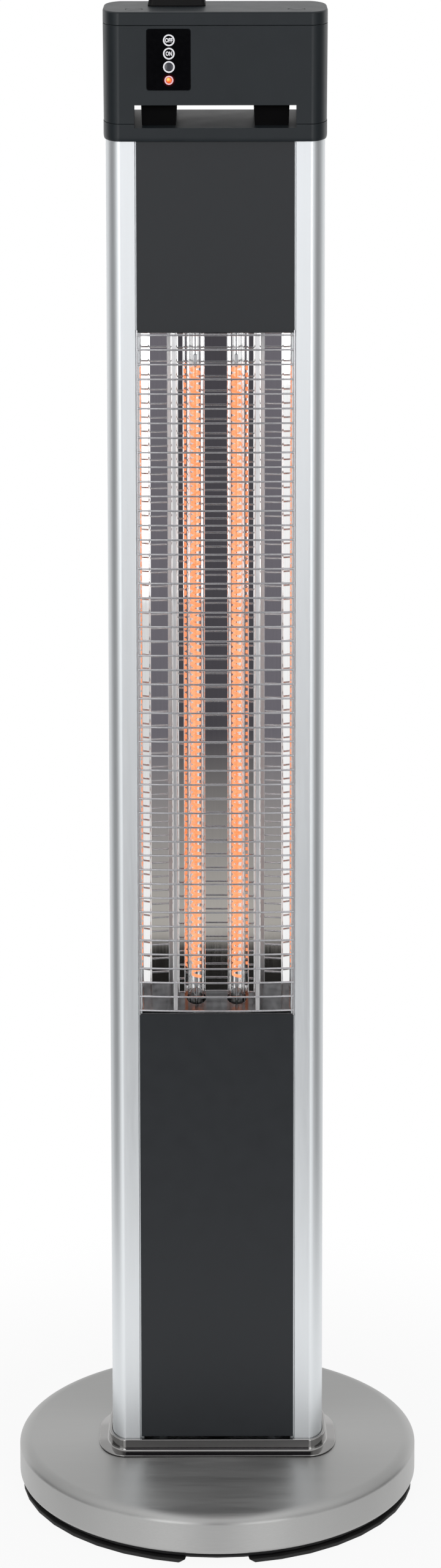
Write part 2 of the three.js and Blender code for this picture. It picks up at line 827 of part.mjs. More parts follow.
// Round strand along a line of points, with each ring turned on from the one before
function strand(points, radius, sides) {
  const rings = []
  const across = new THREE.Vector3(1, 0, 0)
  points.forEach((point, place) => {
    const before = points[Math.max(place - 1, 0)]
    const after = points[Math.min(place + 1, points.length - 1)]
    const along = after.clone().sub(before).normalize()
    across.addScaledVector(along, -across.dot(along)).normalize()
    const other = along.clone().cross(across)
    const ring = []
    for (let corner = 0; corner < sides; corner++) {
      const turn = (corner * 2 * Math.PI) / sides
      const rim = point.clone().addScaledVector(across, radius * Math.cos(turn))
      ring.push(rim.addScaledVector(other, radius * Math.sin(turn)).toArray())
    }
    rings.push(ring)
  })
  return loft(rings)
}

// Quartz tube, glowing spiral and the two ceramic caps of one heating element
function makeElement(label, side) {
  const x = side * tubeX
  const glassBottom = chamberFloor - tubePastPlate
  const glassTop = chamberTop + plateSheet + tubePastPlate
  const bore = glassRadius - glassWall
  const glass = rodZ(glassRadius, x, tubeY, glassBottom, glassTop, tubeSides)
  const hollow = rodZ(bore, x, tubeY, glassBottom - overrun, glassTop + overrun, tubeSides)
  addPiece(`tube_${label}`, glass.subtract(hollow), looks.quartz)

  const curls = coilPoints(side)
  const [first, last] = [curls[0], curls[curls.length - 1]]
  const onAxis = (height) => new THREE.Vector3(0, 0, height)
  const [leadFoot, leadTop] = [first.z - coilRadius, last.z + coilRadius]
  const path = [onAxis(glassBottom), onAxis(leadFoot), ...curls, onAxis(leadTop), onAxis(glassTop)]
  const wound = strand(path, coilStrandRadius, coilSides)
  wound.translate(x, tubeY, 0)
  addPiece(`coil_${label}`, wound, looks.glow)
  console.log(`coil_${label}: least gap to itself ${leastGap(curls).toFixed(2)} mm`)

  const capHalf = capSide * half
  const topSeat = chamberTop + plateSheet + seatGap
  const bottomSeat = chamberFloor - seatGap
  const ends = [
    ['top', topSeat, topSeat + capHeight, topSeat - overrun, glassTop + seatGap],
    ['bottom', bottomSeat - capHeight, bottomSeat, glassBottom - seatGap, bottomSeat + overrun],
  ]
  for (const [end, low, high, boreLow, boreHigh] of ends) {
    const cap = block(x - capHalf, x + capHalf, tubeY - capHalf, tubeY + capHalf, low, high)
    const socket = rodZ(glassRadius + seatGap, x, tubeY, boreLow, boreHigh, tubeSides)
    addPiece(`tube_cap_${label}_${end}`, cap.subtract(socket), looks.ceramic)
  }
}

// Wire guard: bowed wires between two upright edge wires, and two flat bars behind them
function makeGuard() {
  const edgeY = panelFront - seatGap - wireRadius
  const first = windowBottom + guardFootMargin
  const pitch = (windowHeight - guardFootMargin - guardTopMargin) / (guardWires - 1)
  const guardEdge = webFace - guardInsideWeb
  const bowAt = (x) => edgeY - guardBow * (1 - (x / guardEdge) ** 2)
  const stations = [-1, -guardShoulderShare, 0, guardShoulderShare, 1].map((share) => share * guardEdge)
  const diamond = (radius, at) => [
    at(radius, 0),
    at(0, radius),
    at(-radius, 0),
    at(0, -radius),
  ]
  const wires = []
  for (let wire = 0; wire < guardWires; wire++) {
    const height = first + wire * pitch
    const rings = stations.map((x) => diamond(wireRadius, (dy, dz) => [x, bowAt(x) + dy, height + dz]))
    wires.push(solid(loft(rings)))
  }
  const edges = [1, -1].map((side) => {
    const x = side * guardEdge
    const levels = [first - guardTip, first + (guardWires - 1) * pitch + guardTip]
    const rings = levels.map((z) => diamond(wireRadius, (dx, dy) => [x + dx, edgeY + dy, z]))
    return solid(loft(rings))
  })
  addPiece('wire_guard', wasm.Manifold.union([...edges, ...wires]), looks.guardWire)

  for (const [name, side] of [['guard_bar_left', -1], ['guard_bar_right', 1]]) {
    const x = side * (tubeX + guardBarPastTube)
    const front = bowAt(x) + wireRadius + seatGap
    const [low, high] = [windowBottom + guardTopMargin * half, windowTop - guardTopMargin * half]
    const [from, to] = [x - guardBarWidth * half, x + guardBarWidth * half]
    addPiece(name, block(from, to, front, front + guardBarThickness, low, high), looks.guardWire)
  }
}

// Cable ducts that carry the head above the slot
const ductOuter = slotHalfWidth - ductInsideSlot
const ductInner = ductOuter - ductWidth
const ductOutside = [headFront + ductInset, headBack - ductInset]
const ductInside = [headFront + ductInset + ductWall, headBack - ductInset - ductWall]

// The slot's ends spread a little towards the back
function slotBlock(low, high) {
  const [y0, y1] = [headFront - overrun, headBack + overrun]
  const spread = (slotFlare * overrun) / (headBack - headFront)
  const [front, back] = [slotHalfWidth - spread, slotHalfWidth + slotFlare + spread]
  const ring = (level) => [
    [-front, y0, level(y0)],
    [front, y0, level(y0)],
    [back, y1, level(y1)],
    [-back, y1, level(y1)],
  ]
  return solid(loft([ring(low), ring(high)]))
}

// Head collar: skirt over the column, slanted floor of the slot on top
function makeHeadCollar() {
  const collarGrow = headGrow - collarTuck
  const edgeRings = []
  for (let step = 0; step <= rollSteps; step++) {
    const turn = (step / rollSteps) * Math.PI * half
    const grow = collarGrow - skirtEdgeInset * (1 - Math.sin(turn))
    edgeRings.push(planRing(grow, raised(skirtLevel, skirtEdgeHeight * (1 - Math.cos(turn)))))
  }
  const outer = solid(loft([...edgeRings, planRing(collarGrow, seamLevel)]))
  const hollowRings = [planRing(seatGap, raised(skirtLevel, -overrun)), planRing(seatGap, collarRoofLevel)]
  let collar = outer.subtract(slotBlock(trayLevel, skyLevel)).subtract(solid(loft(hollowRings)))
  for (const side of [1, -1]) {
    const faces = [side * (ductInner + ductWall), side * (ductOuter - ductWall)].sort((p, q) => p - q)
    collar = collar.subtract(slopedBlock(...faces, ...ductInside, flat(skirtFront - overrun), skyLevel))
  }
  addPiece('head_collar', collar, looks.charcoalPlastic)

  for (const [name, side] of [['cable_duct_left', -1], ['cable_duct_right', 1]]) {
    const faces = (inset, taper) =>
      [side * (ductInner + inset + taper), side * (ductOuter - inset - taper)].sort((p, q) => p - q)
    const foot = boxRing(...faces(0, ductTaper), ...ductOutside, raised(trayLevel, seatGap))
    const top = boxRing(...faces(0, 0), ...ductOutside, raised(roofLevel, -seatGap))
    const well = slopedBlock(...faces(ductWall, ductTaper), ...ductInside, flat(skirtFront), skyLevel)
    addPiece(name, solid(loft([foot, top])).subtract(well), looks.blackPlastic)
  }
}

// Head housing: open shell above the slot, with end blocks that close the slot's sides
const lidScrewX = columnWidth * half - lidScrewSideInset
const screwPlaces = [lidScrewX, -lidScrewX].map((x) => [x, headFront + lidScrewEndInset])
const innerFront = headFront + headWall
const fasciaTop = lidSeamLevel(headFront) - fasciaTopBelowLidSeam
const fasciaMiddle = fasciaTop - fasciaHeight * half
const [offPlace, onPlace, receiverPlace, lampPlace] = [0, 1, 2, 3]
const fasciaX = fasciaBesideCrease + fasciaWidth * half - creaseX
const keyX = fasciaX - keyOffMiddle
const keyHeight = (place) => fasciaTop - firstKeyBelowFasciaTop - place * keyPitch
const fasciaFront = headFront - fasciaProud
const fasciaBack = fasciaFront + fasciaThickness
const boardFront = headFront + boardBehindFront

// Upright plate with rounded corners
function roundedPlate(halfX, halfZ, radius, front, back, middleX, middleZ) {
  const shape = new THREE.Shape()
  shape.absarc(halfX - radius, halfZ - radius, radius, 0, Math.PI * half)
  shape.absarc(radius - halfX, halfZ - radius, radius, Math.PI * half, Math.PI)
  shape.absarc(radius - halfX, radius - halfZ, radius, Math.PI, -Math.PI * half)
  shape.absarc(halfX - radius, radius - halfZ, radius, -Math.PI * half, 0)
  const options = { depth: back - front, bevelEnabled: false, curveSegments: rollSteps }
  const plate = new THREE.ExtrudeGeometry(shape, options)
  plate.rotateX(Math.PI * half)
  plate.translate(middleX, back, middleZ)
  return solid(plate)
}

function makeHeadHousing() {
  const low = raised(seamLevel, seatGap)
  const high = raised(lidSeamLevel, -seatGap)
  const outer = solid(loft([planRing(headGrow - housingDraft, low), planRing(headGrow, high)]))
  const slot = slotBlock(flat(0), roofLevel)
  const floorLevel = raised(roofLevel, headWall)
  const wellLevel = raised(low, headWall)
  const innerGrow = headGrow - headWall
  const inside = (level) => solid(loft([planRing(innerGrow, level), planRing(innerGrow, skyLevel)]))
  let housing = outer.subtract(slot).subtract(inside(floorLevel))
  for (const side of [1, -1]) {
    const faces = [side * (slotHalfWidth + slotFlare + headWall), side * reach].sort((p, q) => p - q)
    const endBlock = block(...faces, -reach, reach, 0, skyLevel(0))
    housing = housing.subtract(inside(wellLevel).intersect(endBlock))
  }
  const overTop = above(high)
  for (const [x, y] of screwPlaces) {
    const postY = y + housingPostLean
    const postFoot = roofLevel(postY) + headWall * half
    const post = rodZ(housingPostRadius, x, postY, postFoot, skyLevel(0) - overrun, screwSides)
    housing = housing.add(post.intersect(outer).subtract(overTop))
  }
  for (const [u, v] of lidScrewSeats) {
    const hole = lidRod(lidScrewShankRadius + runGap, u, v, -lidScrewLength - headWall, overrun, screwSides)
    housing = housing.subtract(hole)
  }
  for (const sideX of [1, -1]) {
    for (const sideZ of [1, -1]) {
      const [x, z] = [fasciaX + sideX * boardPostX, fasciaMiddle + sideZ * boardPostZ]
      const post = rodY(boardPostRadius, x, z, innerFront - headWall * half, boardFront - seatGap, pinSides)
      housing = housing.add(post)
    }
  }
  const recessHalfX = fasciaWidth * half + seatGap
  const recessHalfZ = fasciaHeight * half + seatGap
  const recess = [recessHalfX, recessHalfZ, fasciaCornerRadius, headFront - overrun, fasciaBack + seatGap]
  housing = housing.subtract(roundedPlate(...recess, fasciaX, fasciaMiddle))
  const windowX = [keyX - keyWindowHalfWidth, keyX + keyWindowHalfWidth]
  const windowY = [headFront - overrun, innerFront + runGap]
  const past = keyFlangeRadius + runGap
  const windowZ = [keyHeight(lampPlace) - past, keyHeight(offPlace) + past]
  housing = housing.subtract(block(...windowX, ...windowY, ...windowZ))
  for (const side of [1, -1]) {
    const faces = [side * (ductInner + ductWall), side * (ductOuter - ductWall)].sort((p, q) => p - q)
    const through = slopedBlock(...faces, ...ductInside, flat(skirtFront), raised(floorLevel, headWall))
    housing = housing.subtract(through)
  }
  addPiece('head_housing', housing, looks.charcoalPlastic)
}

// Control panel: fascia, two keys, receiver window, lamp and the board behind
function makeControls() {
  const recess = [fasciaWidth * half, fasciaHeight * half, fasciaCornerRadius, fasciaFront, fasciaBack]
  let fascia = roundedPlate(...recess, fasciaX, fasciaMiddle)
  const holes = [keyRadius, keyRadius, keyRadius, lampRadius]
  holes.forEach((radius, place) => {
    const hole = rodY(radius + keyGap, keyX, keyHeight(place), headFront - overrun, innerFront)
    fascia = fascia.subtract(hole)
  })
  addPiece('control_fascia', fascia, looks.glossBlack)

  const flangeFront = fasciaBack + seatGap
  const flangeBack = flangeFront + keyFlangeThickness
  const stemEnd = boardFront - keySwitchHeight - keyTravel - seatGap
  for (const [name, place] of [['off_button', offPlace], ['on_button', onPlace]]) {
    const z = keyHeight(place)
    const cap = rodY(keyRadius, keyX, z, fasciaFront - keyProud, flangeBack)
    const flange = rodY(keyFlangeRadius, keyX, z, flangeFront, flangeBack)
    const stem = rodY(keyStemRadius, keyX, z, flangeFront, stemEnd, pinSides)
    addPiece(name, cap.add(flange).add(stem), looks.glossBlack)
  }

  const receiverZ = keyHeight(receiverPlace)
  const window = rodY(keyRadius, keyX, receiverZ, fasciaFront, flangeBack)
  const windowFlange = rodY(keyFlangeRadius, keyX, receiverZ, flangeFront, flangeBack)
  addPiece('receiver_lens', window.add(windowFlange), looks.smokedLens)
  const lampZ = keyHeight(lampPlace)
  const lampFlange = rodY(keyFlangeRadius, keyX, lampZ, flangeFront, flangeBack)
  const lampPipe = rodY(lampRadius, keyX, lampZ, fasciaFront - lampProud, boardFront - seatGap)
  addPiece('lamp_lens', lampPipe.add(lampFlange), looks.lampLens)

  const boardBack = boardFront + boardSheet
  const faces = [fasciaX - boardWidth * half, fasciaX + boardWidth * half]
  const [low, high] = [fasciaMiddle - boardHeight * half, fasciaMiddle + boardHeight * half]
  let board = block(...faces, boardFront, boardBack, low, high)
  for (const place of [offPlace, onPlace]) {
    const z = keyHeight(place)
    const side = keyRadius
    const edges = [keyX - side, keyX + side, boardFront - keySwitchHeight, boardFront + boardSheet * half]
    board = board.add(block(...edges, z - side, z + side))
  }
  for (const side of [1, -1]) {
    const z = fasciaMiddle + side * (relayHeight + seatGap) * half
    const edges = [fasciaX - relayWidth * half, fasciaX + relayWidth * half, boardFront + boardSheet * half]
    board = board.add(block(...edges, boardBack + relayDepth, z - relayHeight * half, z + relayHeight * half))
  }
  addPiece('control_board', board, looks.circuitBoard)
}

// Pieces drawn flat on the lid are turned with its slope; u runs across, v up the slope, w out of it
function onLid(geometry) {
  geometry.rotateX(lidRake)
  geometry.translate(0, headFront, lidTopFront)
  return geometry
}
function lidRod(radius, u, v, w0, w1, sides) {
  const geometry = new THREE.CylinderGeometry(radius, radius, w1 - w0, sides)
  geometry.rotateX(Math.PI * half)
  geometry.translate(u, v, (w0 + w1) * half)
  return solid(onLid(geometry))
}
const lidBlock = (u0, u1, v0, v1, w0, w1) =>
  solid(onLid(loft([boxRing(u0, u1, v0, v1, flat(w0)), boxRing(u0, u1, v0, v1, flat(w1))])))
const upLid = (y) => (y - headFront) / Math.cos(lidRake)
const lidScrewSeats = screwPlaces.map(([x, y]) => [x, upLid(y)])
const switchX = switchBesideCrease + switchFootHalfX - creaseX
const switchV = upLid(headBack) - switchFromBack - switchFootHalfY

function makeLid() {
  const outer = solid(
    loft([
      planRing(headGrow, lidSeamLevel),
      planRing(headGrow, raised(lidTopLevel, -headEdge)),
      planRing(headGrow - headEdge, lidTopLevel),
    ]),
  )
  const innerGrow = headGrow - headWall
  const hollowRings = [
    planRing(innerGrow, raised(lidSeamLevel, -overrun)),
    planRing(innerGrow, raised(lidTopLevel, -headWall - headEdge)),
  ]
  const hollow = solid(loft(hollowRings))
  const posts = screwPlaces.map(([x, y]) => rodZ(lidPostRadius, x, y, 0, skyLevel(0), rodSides))
  let lid = outer.subtract(hollow.subtract(wasm.Manifold.union(posts)))
  lidScrewSeats.forEach(([u, v]) => {
    const seat = -lidScrewHeadHeight - seatGap
    lid = lid.subtract(lidRod(lidScrewHeadRadius + seatGap, u, v, seat, overrun, rodSides))
    lid = lid.subtract(lidRod(lidScrewShankRadius + runGap, u, v, -lidScrewLength, overrun, screwSides))
  })
  const [u, v] = [switchX, switchV]
  const [halfU, halfV] = [lidWireHoleHalfX, lidWireHoleHalfY]
  lid = lid.subtract(lidBlock(u - halfU, u + halfU, v - halfV, v + halfV, -lidScrewLength, overrun))
  addPiece('head_lid', lid, looks.charcoalPlastic)

  lidScrewSeats.forEach(([u, v], number) => {
    const head = lidRod(lidScrewHeadRadius, u, v, -lidScrewHeadHeight, 0, rodSides)
    const shankTop = -lidScrewHeadHeight * half
    const shank = lidRod(lidScrewShankRadius, u, v, -lidScrewLength + seatGap, shankTop, pinSides)
    addPiece(`lid_screw_${number + 1}`, head.add(shank), looks.charcoalPlastic)
  })
}

// Mains switch: flared housing on the lid, rocker on a cross pin
const pivotW = switchHeight - rockerPivotBelowTop
function roundedRing(halfX, halfY, radius, w) {
  const ring = []
  const centres = [[1, 1], [-1, 1], [-1, -1], [1, -1]]
  centres.forEach(([signX, signY], quarterTurn) => {
    for (let step = 0; step <= cornerSteps; step++) {
      const angle = (quarterTurn + step / cornerSteps) * Math.PI * half
      const x = signX * (halfX - radius) + radius * Math.cos(angle)
      const y = signY * (halfY - radius) + radius * Math.sin(angle)
      ring.push([switchX + x, switchV + y, w])
    }
  })
  return ring
}

function makeSwitch() {
  const flare = switchTopHalfX + switchFlareReach * half
  const flareV = switchTopHalfY + switchFlareReach * half
  const edge = switchEdge
  const body = loft([
    roundedRing(switchFootHalfX, switchFootHalfY, switchCornerRadius, seatGap),
    roundedRing(flare, flareV, switchCornerRadius, switchFlareHeight),
    roundedRing(switchTopHalfX, switchTopHalfY, switchCornerRadius, switchHeight - edge),
    roundedRing(switchTopHalfX - edge, switchTopHalfY - edge, switchCornerRadius - edge, switchHeight),
  ])
  const [u, v, w] = [switchX, switchV, pivotW]
  const inU = switchTopHalfX - switchWall
  const inV = switchTopHalfY - switchWall
  const openU = rockerHalfLength + rockerEndRoom
  const openV = rockerHalfWidth + runGap
  const pinHalf = openV + rockerPinSeat
  const pinHole = (radius, reachV) => {
    const geometry = new THREE.CylinderGeometry(radius, radius, 2 * reachV, pinSides)
    geometry.translate(u, v, w)
    return solid(onLid(geometry))
  }
  let housing = solid(onLid(body))
  const under = switchHeight - switchTopSheet
  housing = housing.subtract(lidBlock(u - inU, u + inU, v - inV, v + inV, -overrun, under))
  const clear = switchHeight + overrun
  housing = housing.subtract(lidBlock(u - openU, u + openU, v - openV, v + openV, -overrun, clear))
  housing = housing.subtract(pinHole(rockerPinRadius + seatGap, pinHalf + seatGap))
  addPiece('switch_housing', housing, looks.blackPlastic)

  const side = new THREE.Shape([
    new THREE.Vector2(-rockerBellyHalf, -rockerBellyDepth),
    new THREE.Vector2(rockerBellyHalf, -rockerBellyDepth),
    new THREE.Vector2(rockerHalfLength, 0),
    new THREE.Vector2(rockerHalfLength, rockerLobeHeight),
    new THREE.Vector2(0, rockerSaddleHeight),
    new THREE.Vector2(-rockerHalfLength, rockerLobeHeight),
    new THREE.Vector2(-rockerHalfLength, 0),
  ])
  const paddle = new THREE.ExtrudeGeometry(side, { depth: 2 * rockerHalfWidth, bevelEnabled: false })
  paddle.translate(0, 0, -rockerHalfWidth)
  paddle.rotateX(Math.PI * half)
  paddle.rotateY(-rockerSwing)
  paddle.translate(u, v, w)
  const rocker = solid(onLid(paddle)).subtract(pinHole(rockerPinRadius + seatGap, openV))
  addPiece('rocker_switch', rocker, looks.glossBlack)
  addPiece('rocker_pin', pinHole(rockerPinRadius, pinHalf), looks.zincSteel)
}

makeBase()
makeBracket()
makeFootCollar()
makeProfile('left_profile', -1)
makeProfile('right_profile', 1)
makeFrontPanel('lower_front_panel', panelFoot, windowBottom)
makeFrontPanel('upper_front_panel', windowTop, collarRoofLevel(panelFront) - panelTopRoom)
makeBack()
makeReflector()
makeChamberPlates()
makeElement('left', -1)
makeElement('right', 1)
makeGuard()
makeHeadCollar()
makeHeadHousing()
makeControls()
makeLid()
makeSwitch()

export default heater
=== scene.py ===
"""Tower patio heater: a slim column with two glowing tubes, a charcoal head and a round steel base."""

import math

import bmesh
import bpy
from bpy.props import FloatProperty, FloatVectorProperty, IntProperty, PointerProperty
from mathutils import Matrix, Vector


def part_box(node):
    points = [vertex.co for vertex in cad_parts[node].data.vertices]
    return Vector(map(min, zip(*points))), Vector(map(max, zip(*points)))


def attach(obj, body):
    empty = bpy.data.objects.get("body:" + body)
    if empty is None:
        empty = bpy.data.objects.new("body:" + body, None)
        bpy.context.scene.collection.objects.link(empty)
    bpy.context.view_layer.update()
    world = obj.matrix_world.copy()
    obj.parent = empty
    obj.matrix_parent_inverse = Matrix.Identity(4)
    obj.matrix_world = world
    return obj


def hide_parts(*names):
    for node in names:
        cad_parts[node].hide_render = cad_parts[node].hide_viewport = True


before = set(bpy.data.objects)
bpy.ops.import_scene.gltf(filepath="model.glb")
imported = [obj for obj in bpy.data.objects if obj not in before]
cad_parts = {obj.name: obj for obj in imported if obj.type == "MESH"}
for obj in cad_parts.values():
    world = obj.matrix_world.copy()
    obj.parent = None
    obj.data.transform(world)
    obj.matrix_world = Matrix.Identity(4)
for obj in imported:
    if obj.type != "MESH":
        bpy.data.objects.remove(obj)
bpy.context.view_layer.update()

bl_info = {
    "name": "Tower Patio Heater",
    "version": (1, 0, 0),
    "blender": (4, 5, 0),
    "location": "3D View > Sidebar > Heater",
    "description": "Builds the dressed pieces of a tower patio heater on its packed frame",
    "category": "Add Mesh",
}

MM = 0.001


def length(name, description, default):
    return FloatProperty(name=name, description=description, default=default, unit="LENGTH", precision=5)


def turn(name, description, degrees):
    return FloatProperty(name=name, description=description, default=math.radians(degrees), unit="ROTATION")


def colour(name, description, default):
    return FloatVectorProperty(
        name=name, description=description, default=default, subtype="COLOR", size=3, min=0.0, max=1.0
    )


class HeaterBaseSizes(bpy.types.PropertyGroup):
    """Sizes of the round base and the collar on it"""

    radius: length("Base radius", "Outer radius of the steel cover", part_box("base_cover")[1].x)
    top: length("Base top", "Height of the flat top of the cover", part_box("base_cover")[1].z)
    skirt_bottom: length("Skirt bottom", "Height of the lower edge of the cover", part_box("base_cover")[0].z)
    sheet: length("Cover sheet", "Thickness of the pressed steel", 1.2 * MM)
    roll_reach: length("Roll reach", "Width of the rounded shoulder", 10 * MM)
    roll_drop: length("Roll drop", "Height of the rounded shoulder", 5.5 * MM)
    curl: length("Curl", "Size of the curl at the lower edge", 3.4 * MM)
    hole_radius: length("Cover hole", "Radius of the hole under the column", 34 * MM)
    collar_fit: length("Collar fit", "Gap between the collar and the column", 0.5 * MM)
    collar_reach: length("Collar reach", "How far the flange stands out from the column", 10.6 * MM)
    collar_upstand: length("Collar upstand", "How far the upright part stands out", 2.8 * MM)


class HeaterColumnSizes(bpy.types.PropertyGroup):
    """Sizes of the column's outline and its panels"""

    width: length("Column width", "Width over both profiles", 2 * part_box("right_profile")[1].x)
    front: length("Front face", "Place of the front strips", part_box("right_profile")[0].y)
    back: length("Back face", "Place of the back strips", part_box("right_profile")[1].y)
    corner_reach: length("Corner reach", "Width of a rounded corner", 12.6 * MM)
    corner_depth: length("Corner depth", "Depth of a rounded corner", 22 * MM)
    corner_past_crease: length(
        "Corner past crease", "Part of the corner's ellipse that the strip cuts", 1.9 * MM
    )
    web: length("Web face", "Distance of the profiles' inner faces from the middle", 60 * MM)
    lip_reach: length("Front lip", "Reach of the lip behind the panels", 3 * MM)
    lip_front: length("Front lip face", "Depth of the front lip behind the front face", 2.4 * MM)
    lip_thickness: length("Lip thickness", "Thickness of both lips", 1.8 * MM)
    back_lip_reach: length("Back lip", "Reach of the lip behind the back cover", 8 * MM)


class HeaterWindowSizes(bpy.types.PropertyGroup):
    """Sizes of the heating window"""

    bottom: length("Window bottom", "Height of the lower panel's top edge", 384.4 * MM)
    top: length("Window top", "Height of the upper panel's lower edge", 905.4 * MM)
    tube_x: length("Tube place", "Distance of each tube from the middle", 15.5 * MM)
    tube_y: length("Tube depth", "Depth of the tubes", -21.5 * MM)
    tube_radius: length("Tube radius", "Outer radius of a quartz tube", 5.8 * MM)
    tube_wall: length("Tube wall", "Wall of a quartz tube", 1 * MM)
    spiral_radius: length("Spiral radius", "Outer radius of a glowing spiral", 3.75 * MM)
    spiral_pitch: length("Spiral pitch", "Rise of one curl", 5.35 * MM)
    strip_width: length("Strip width", "Width of the wound strip", 2.3 * MM)
    spiral_inset: length("Spiral inset", "Distance from the window's end to the glowing part", 25 * MM)
    wires: IntProperty(name="Guard wires", description="Number of bowed wires", default=48)
    wire_radius: length("Wire radius", "Radius of a guard wire", 0.75 * MM)
    wire_edge: length("Guard edge", "Distance of the upright edge wires from the middle", 58.9 * MM)
    wire_bow: length("Guard bow", "How far the wires bow to the front", 3.2 * MM)
    wire_foot: length("Guard foot", "Height of the lowest wire above the window's bottom", 3.4 * MM)
    wire_head: length("Guard head", "Room above the highest wire", 1.7 * MM)


class HeaterHeadSizes(bpy.types.PropertyGroup):
    """Sizes of the head"""

    grow: length("Head growth", "How far the head stands out from the column", 1.8 * MM)
    skirt: length("Skirt front", "Height of the skirt's lower edge at the front", 1046.6 * MM)
    seam: length("Collar seam", "Height of the seam above the collar at the front", 1059.2 * MM)
    tray: length("Slot floor", "Height of the slot's floor at the front", 1056.5 * MM)
    roof: length("Slot roof", "Height of the slot's roof at the front", 1073.2 * MM)
    lid_seam: length("Lid seam", "Height of the seam under the lid at the front", 1131.7 * MM)
    lid_top: length("Lid top", "Height of the lid at the front", 1141.45 * MM)
    skirt_rake: turn("Skirt rake", "Slope of the skirt's lower edge", 11)
    seam_rake: turn("Seam rake", "Slope of the collar seam and of the slot's roof", 12.2)
    tray_rake: turn("Slot floor rake", "Slope of the slot's floor", 14.5)
    lid_seam_rake: turn("Lid seam rake", "Slope of the seam under the lid", 11.2)
    lid_rake: turn("Lid rake", "Slope of the lid", 11.9)
    slot_half: length("Slot half width", "Half width of the slot at the front", 60 * MM)
    slot_flare: length("Slot flare", "How far each end of the slot spreads towards the back", 1.9 * MM)
    wall: length("Head wall", "Wall of the head's mouldings", 2.5 * MM)
    edge: length("Lid edge", "Size of the lid's rounded edge", 1.2 * MM)
    screw_x: length("Lid screw place", "Distance of the lid screws from the middle", 60.5 * MM)
    screw_inset: length("Lid screw inset", "Distance of the lid screws from the front", 17 * MM)
    screw_radius: length("Lid screw radius", "Radius of a lid screw's head", 6.25 * MM)


class HeaterControlSizes(bpy.types.PropertyGroup):
    """Sizes of the control fascia and the mains switch"""

    fascia_x: length("Fascia middle", "Middle of the fascia", -34.55 * MM)
    fascia_width: length("Fascia width", "Width of the fascia", 32.1 * MM)
    fascia_height: length("Fascia height", "Height of the fascia", 44.3 * MM)
    fascia_corner: length("Fascia corner", "Corner radius of the fascia", 1.8 * MM)
    fascia_top: length("Fascia top", "Top edge of the fascia", 1128.8 * MM)
    key_x: length("Key place", "Middle of the row of keys", -34.25 * MM)
    key_pitch: length("Key pitch", "Distance from key to key", 9.73 * MM)
    first_key: length("First key", "Distance of the first key from the fascia's top", 8 * MM)
    key_radius: length("Key radius", "Radius of a key", 3 * MM)
    ring_radius: length("Ring radius", "Outer radius of the printed rings", 4.3 * MM)
    lamp_radius: length("Lamp radius", "Radius of the signal lamp", 2.15 * MM)
    lamp_ring: length("Lamp ring", "Outer radius of the printed ring round the lamp", 3.3 * MM)
    switch_x: length("Switch middle", "Middle of the switch across the lid", -28.95 * MM)
    switch_v: length("Switch place", "Middle of the switch up the lid", 49.42 * MM)
    switch_height: length("Switch height", "Height of the switch above the lid", 15 * MM)
    rocker_half: length("Rocker half length", "Half length of the rocker", 12 * MM)
    rocker_half_width: length("Rocker half width", "Half width of the rocker", 7.2 * MM)
    rocker_swing: turn("Rocker swing", "Tilt of the rocker at rest", 8)


class HeaterColours(bpy.types.PropertyGroup):
    """Colours of the finishes"""

    aluminium: colour("Aluminium", "Satin anodised profiles", (0.87, 0.90, 0.92))
    steel: colour("Brushed steel", "Base cover", (0.45, 0.45, 0.445))
    chrome: colour("Chrome", "Foot collar", (0.37, 0.365, 0.36))
    reflector: colour("Polished sheet", "Reflector", (0.92, 0.92, 0.92))
    paint: colour("Panel paint", "Charcoal paint of the panels", (0.0150, 0.0182, 0.0222))
    plastic: colour("Head plastic", "Charcoal moulded plastic", (0.0180, 0.0235, 0.0280))
    black: colour("Black plastic", "Switch, ducts, gland and tray", (0.0035, 0.0035, 0.004))
    gloss: colour("Gloss black", "Fascia and keys", (0.0016, 0.0017, 0.0022))
    print: colour("Printed white", "Rings and lettering", (0.93, 0.93, 0.97))
    wire: colour("Guard wire", "Bright steel wire", (0.55, 0.55, 0.57))
    bar: colour("Guard bar", "Upright guard bars", (0.92, 0.92, 0.93))
    glow: colour("Glow", "Glowing carbon", (1.0, 0.30, 0.115))
    lamp: colour("Lamp", "Signal lamp", (1.0, 0.07, 0.012))
    floor: colour("Floor", "Studio floor", (0.86, 0.86, 0.86))


def base_sizes():
    return bpy.context.scene.heater_base


def column_sizes():
    return bpy.context.scene.heater_column


def window_sizes():
    return bpy.context.scene.heater_window


def head_sizes():
    return bpy.context.scene.heater_head


def control_sizes():
    return bpy.context.scene.heater_controls


def colours():
    return bpy.context.scene.heater_colours


# Nodes and trees


def node(tree, kind, inputs=None, **settings):
    """Adds a node, sets its properties, and links or sets its inputs."""
    made = tree.nodes.new(kind)
    for key, value in settings.items():
        setattr(made, key, value)
    for socket, value in (inputs or {}).items():
        if isinstance(value, bpy.types.NodeSocket):
            tree.links.new(value, made.inputs[socket])
        else:
            made.inputs[socket].default_value = value
    return made


def maths(tree, operation, first, second=0.0, clamp=False):
    """The output of one Math node."""
    inputs = {0: first, 1: second}
    return node(tree, "ShaderNodeMath", inputs, operation=operation, use_clamp=clamp).outputs[0]


def ranged(tree, value, low, high, first=0.0, last=1.0, soft=False):
    """The value's place between low and high, as a number from first to last."""
    inputs = {"Value": value, "From Min": low, "From Max": high, "To Min": first, "To Max": last}
    kind = "SMOOTHSTEP" if soft else "LINEAR"
    return node(tree, "ShaderNodeMapRange", inputs, interpolation_type=kind).outputs[0]


def mixed(tree, share, first, second):
    """The first colour where the share is 0, and the second where it is 1."""
    return node(tree, "ShaderNodeMix", {0: share, 6: first, 7: second}, data_type="RGBA").outputs[2]


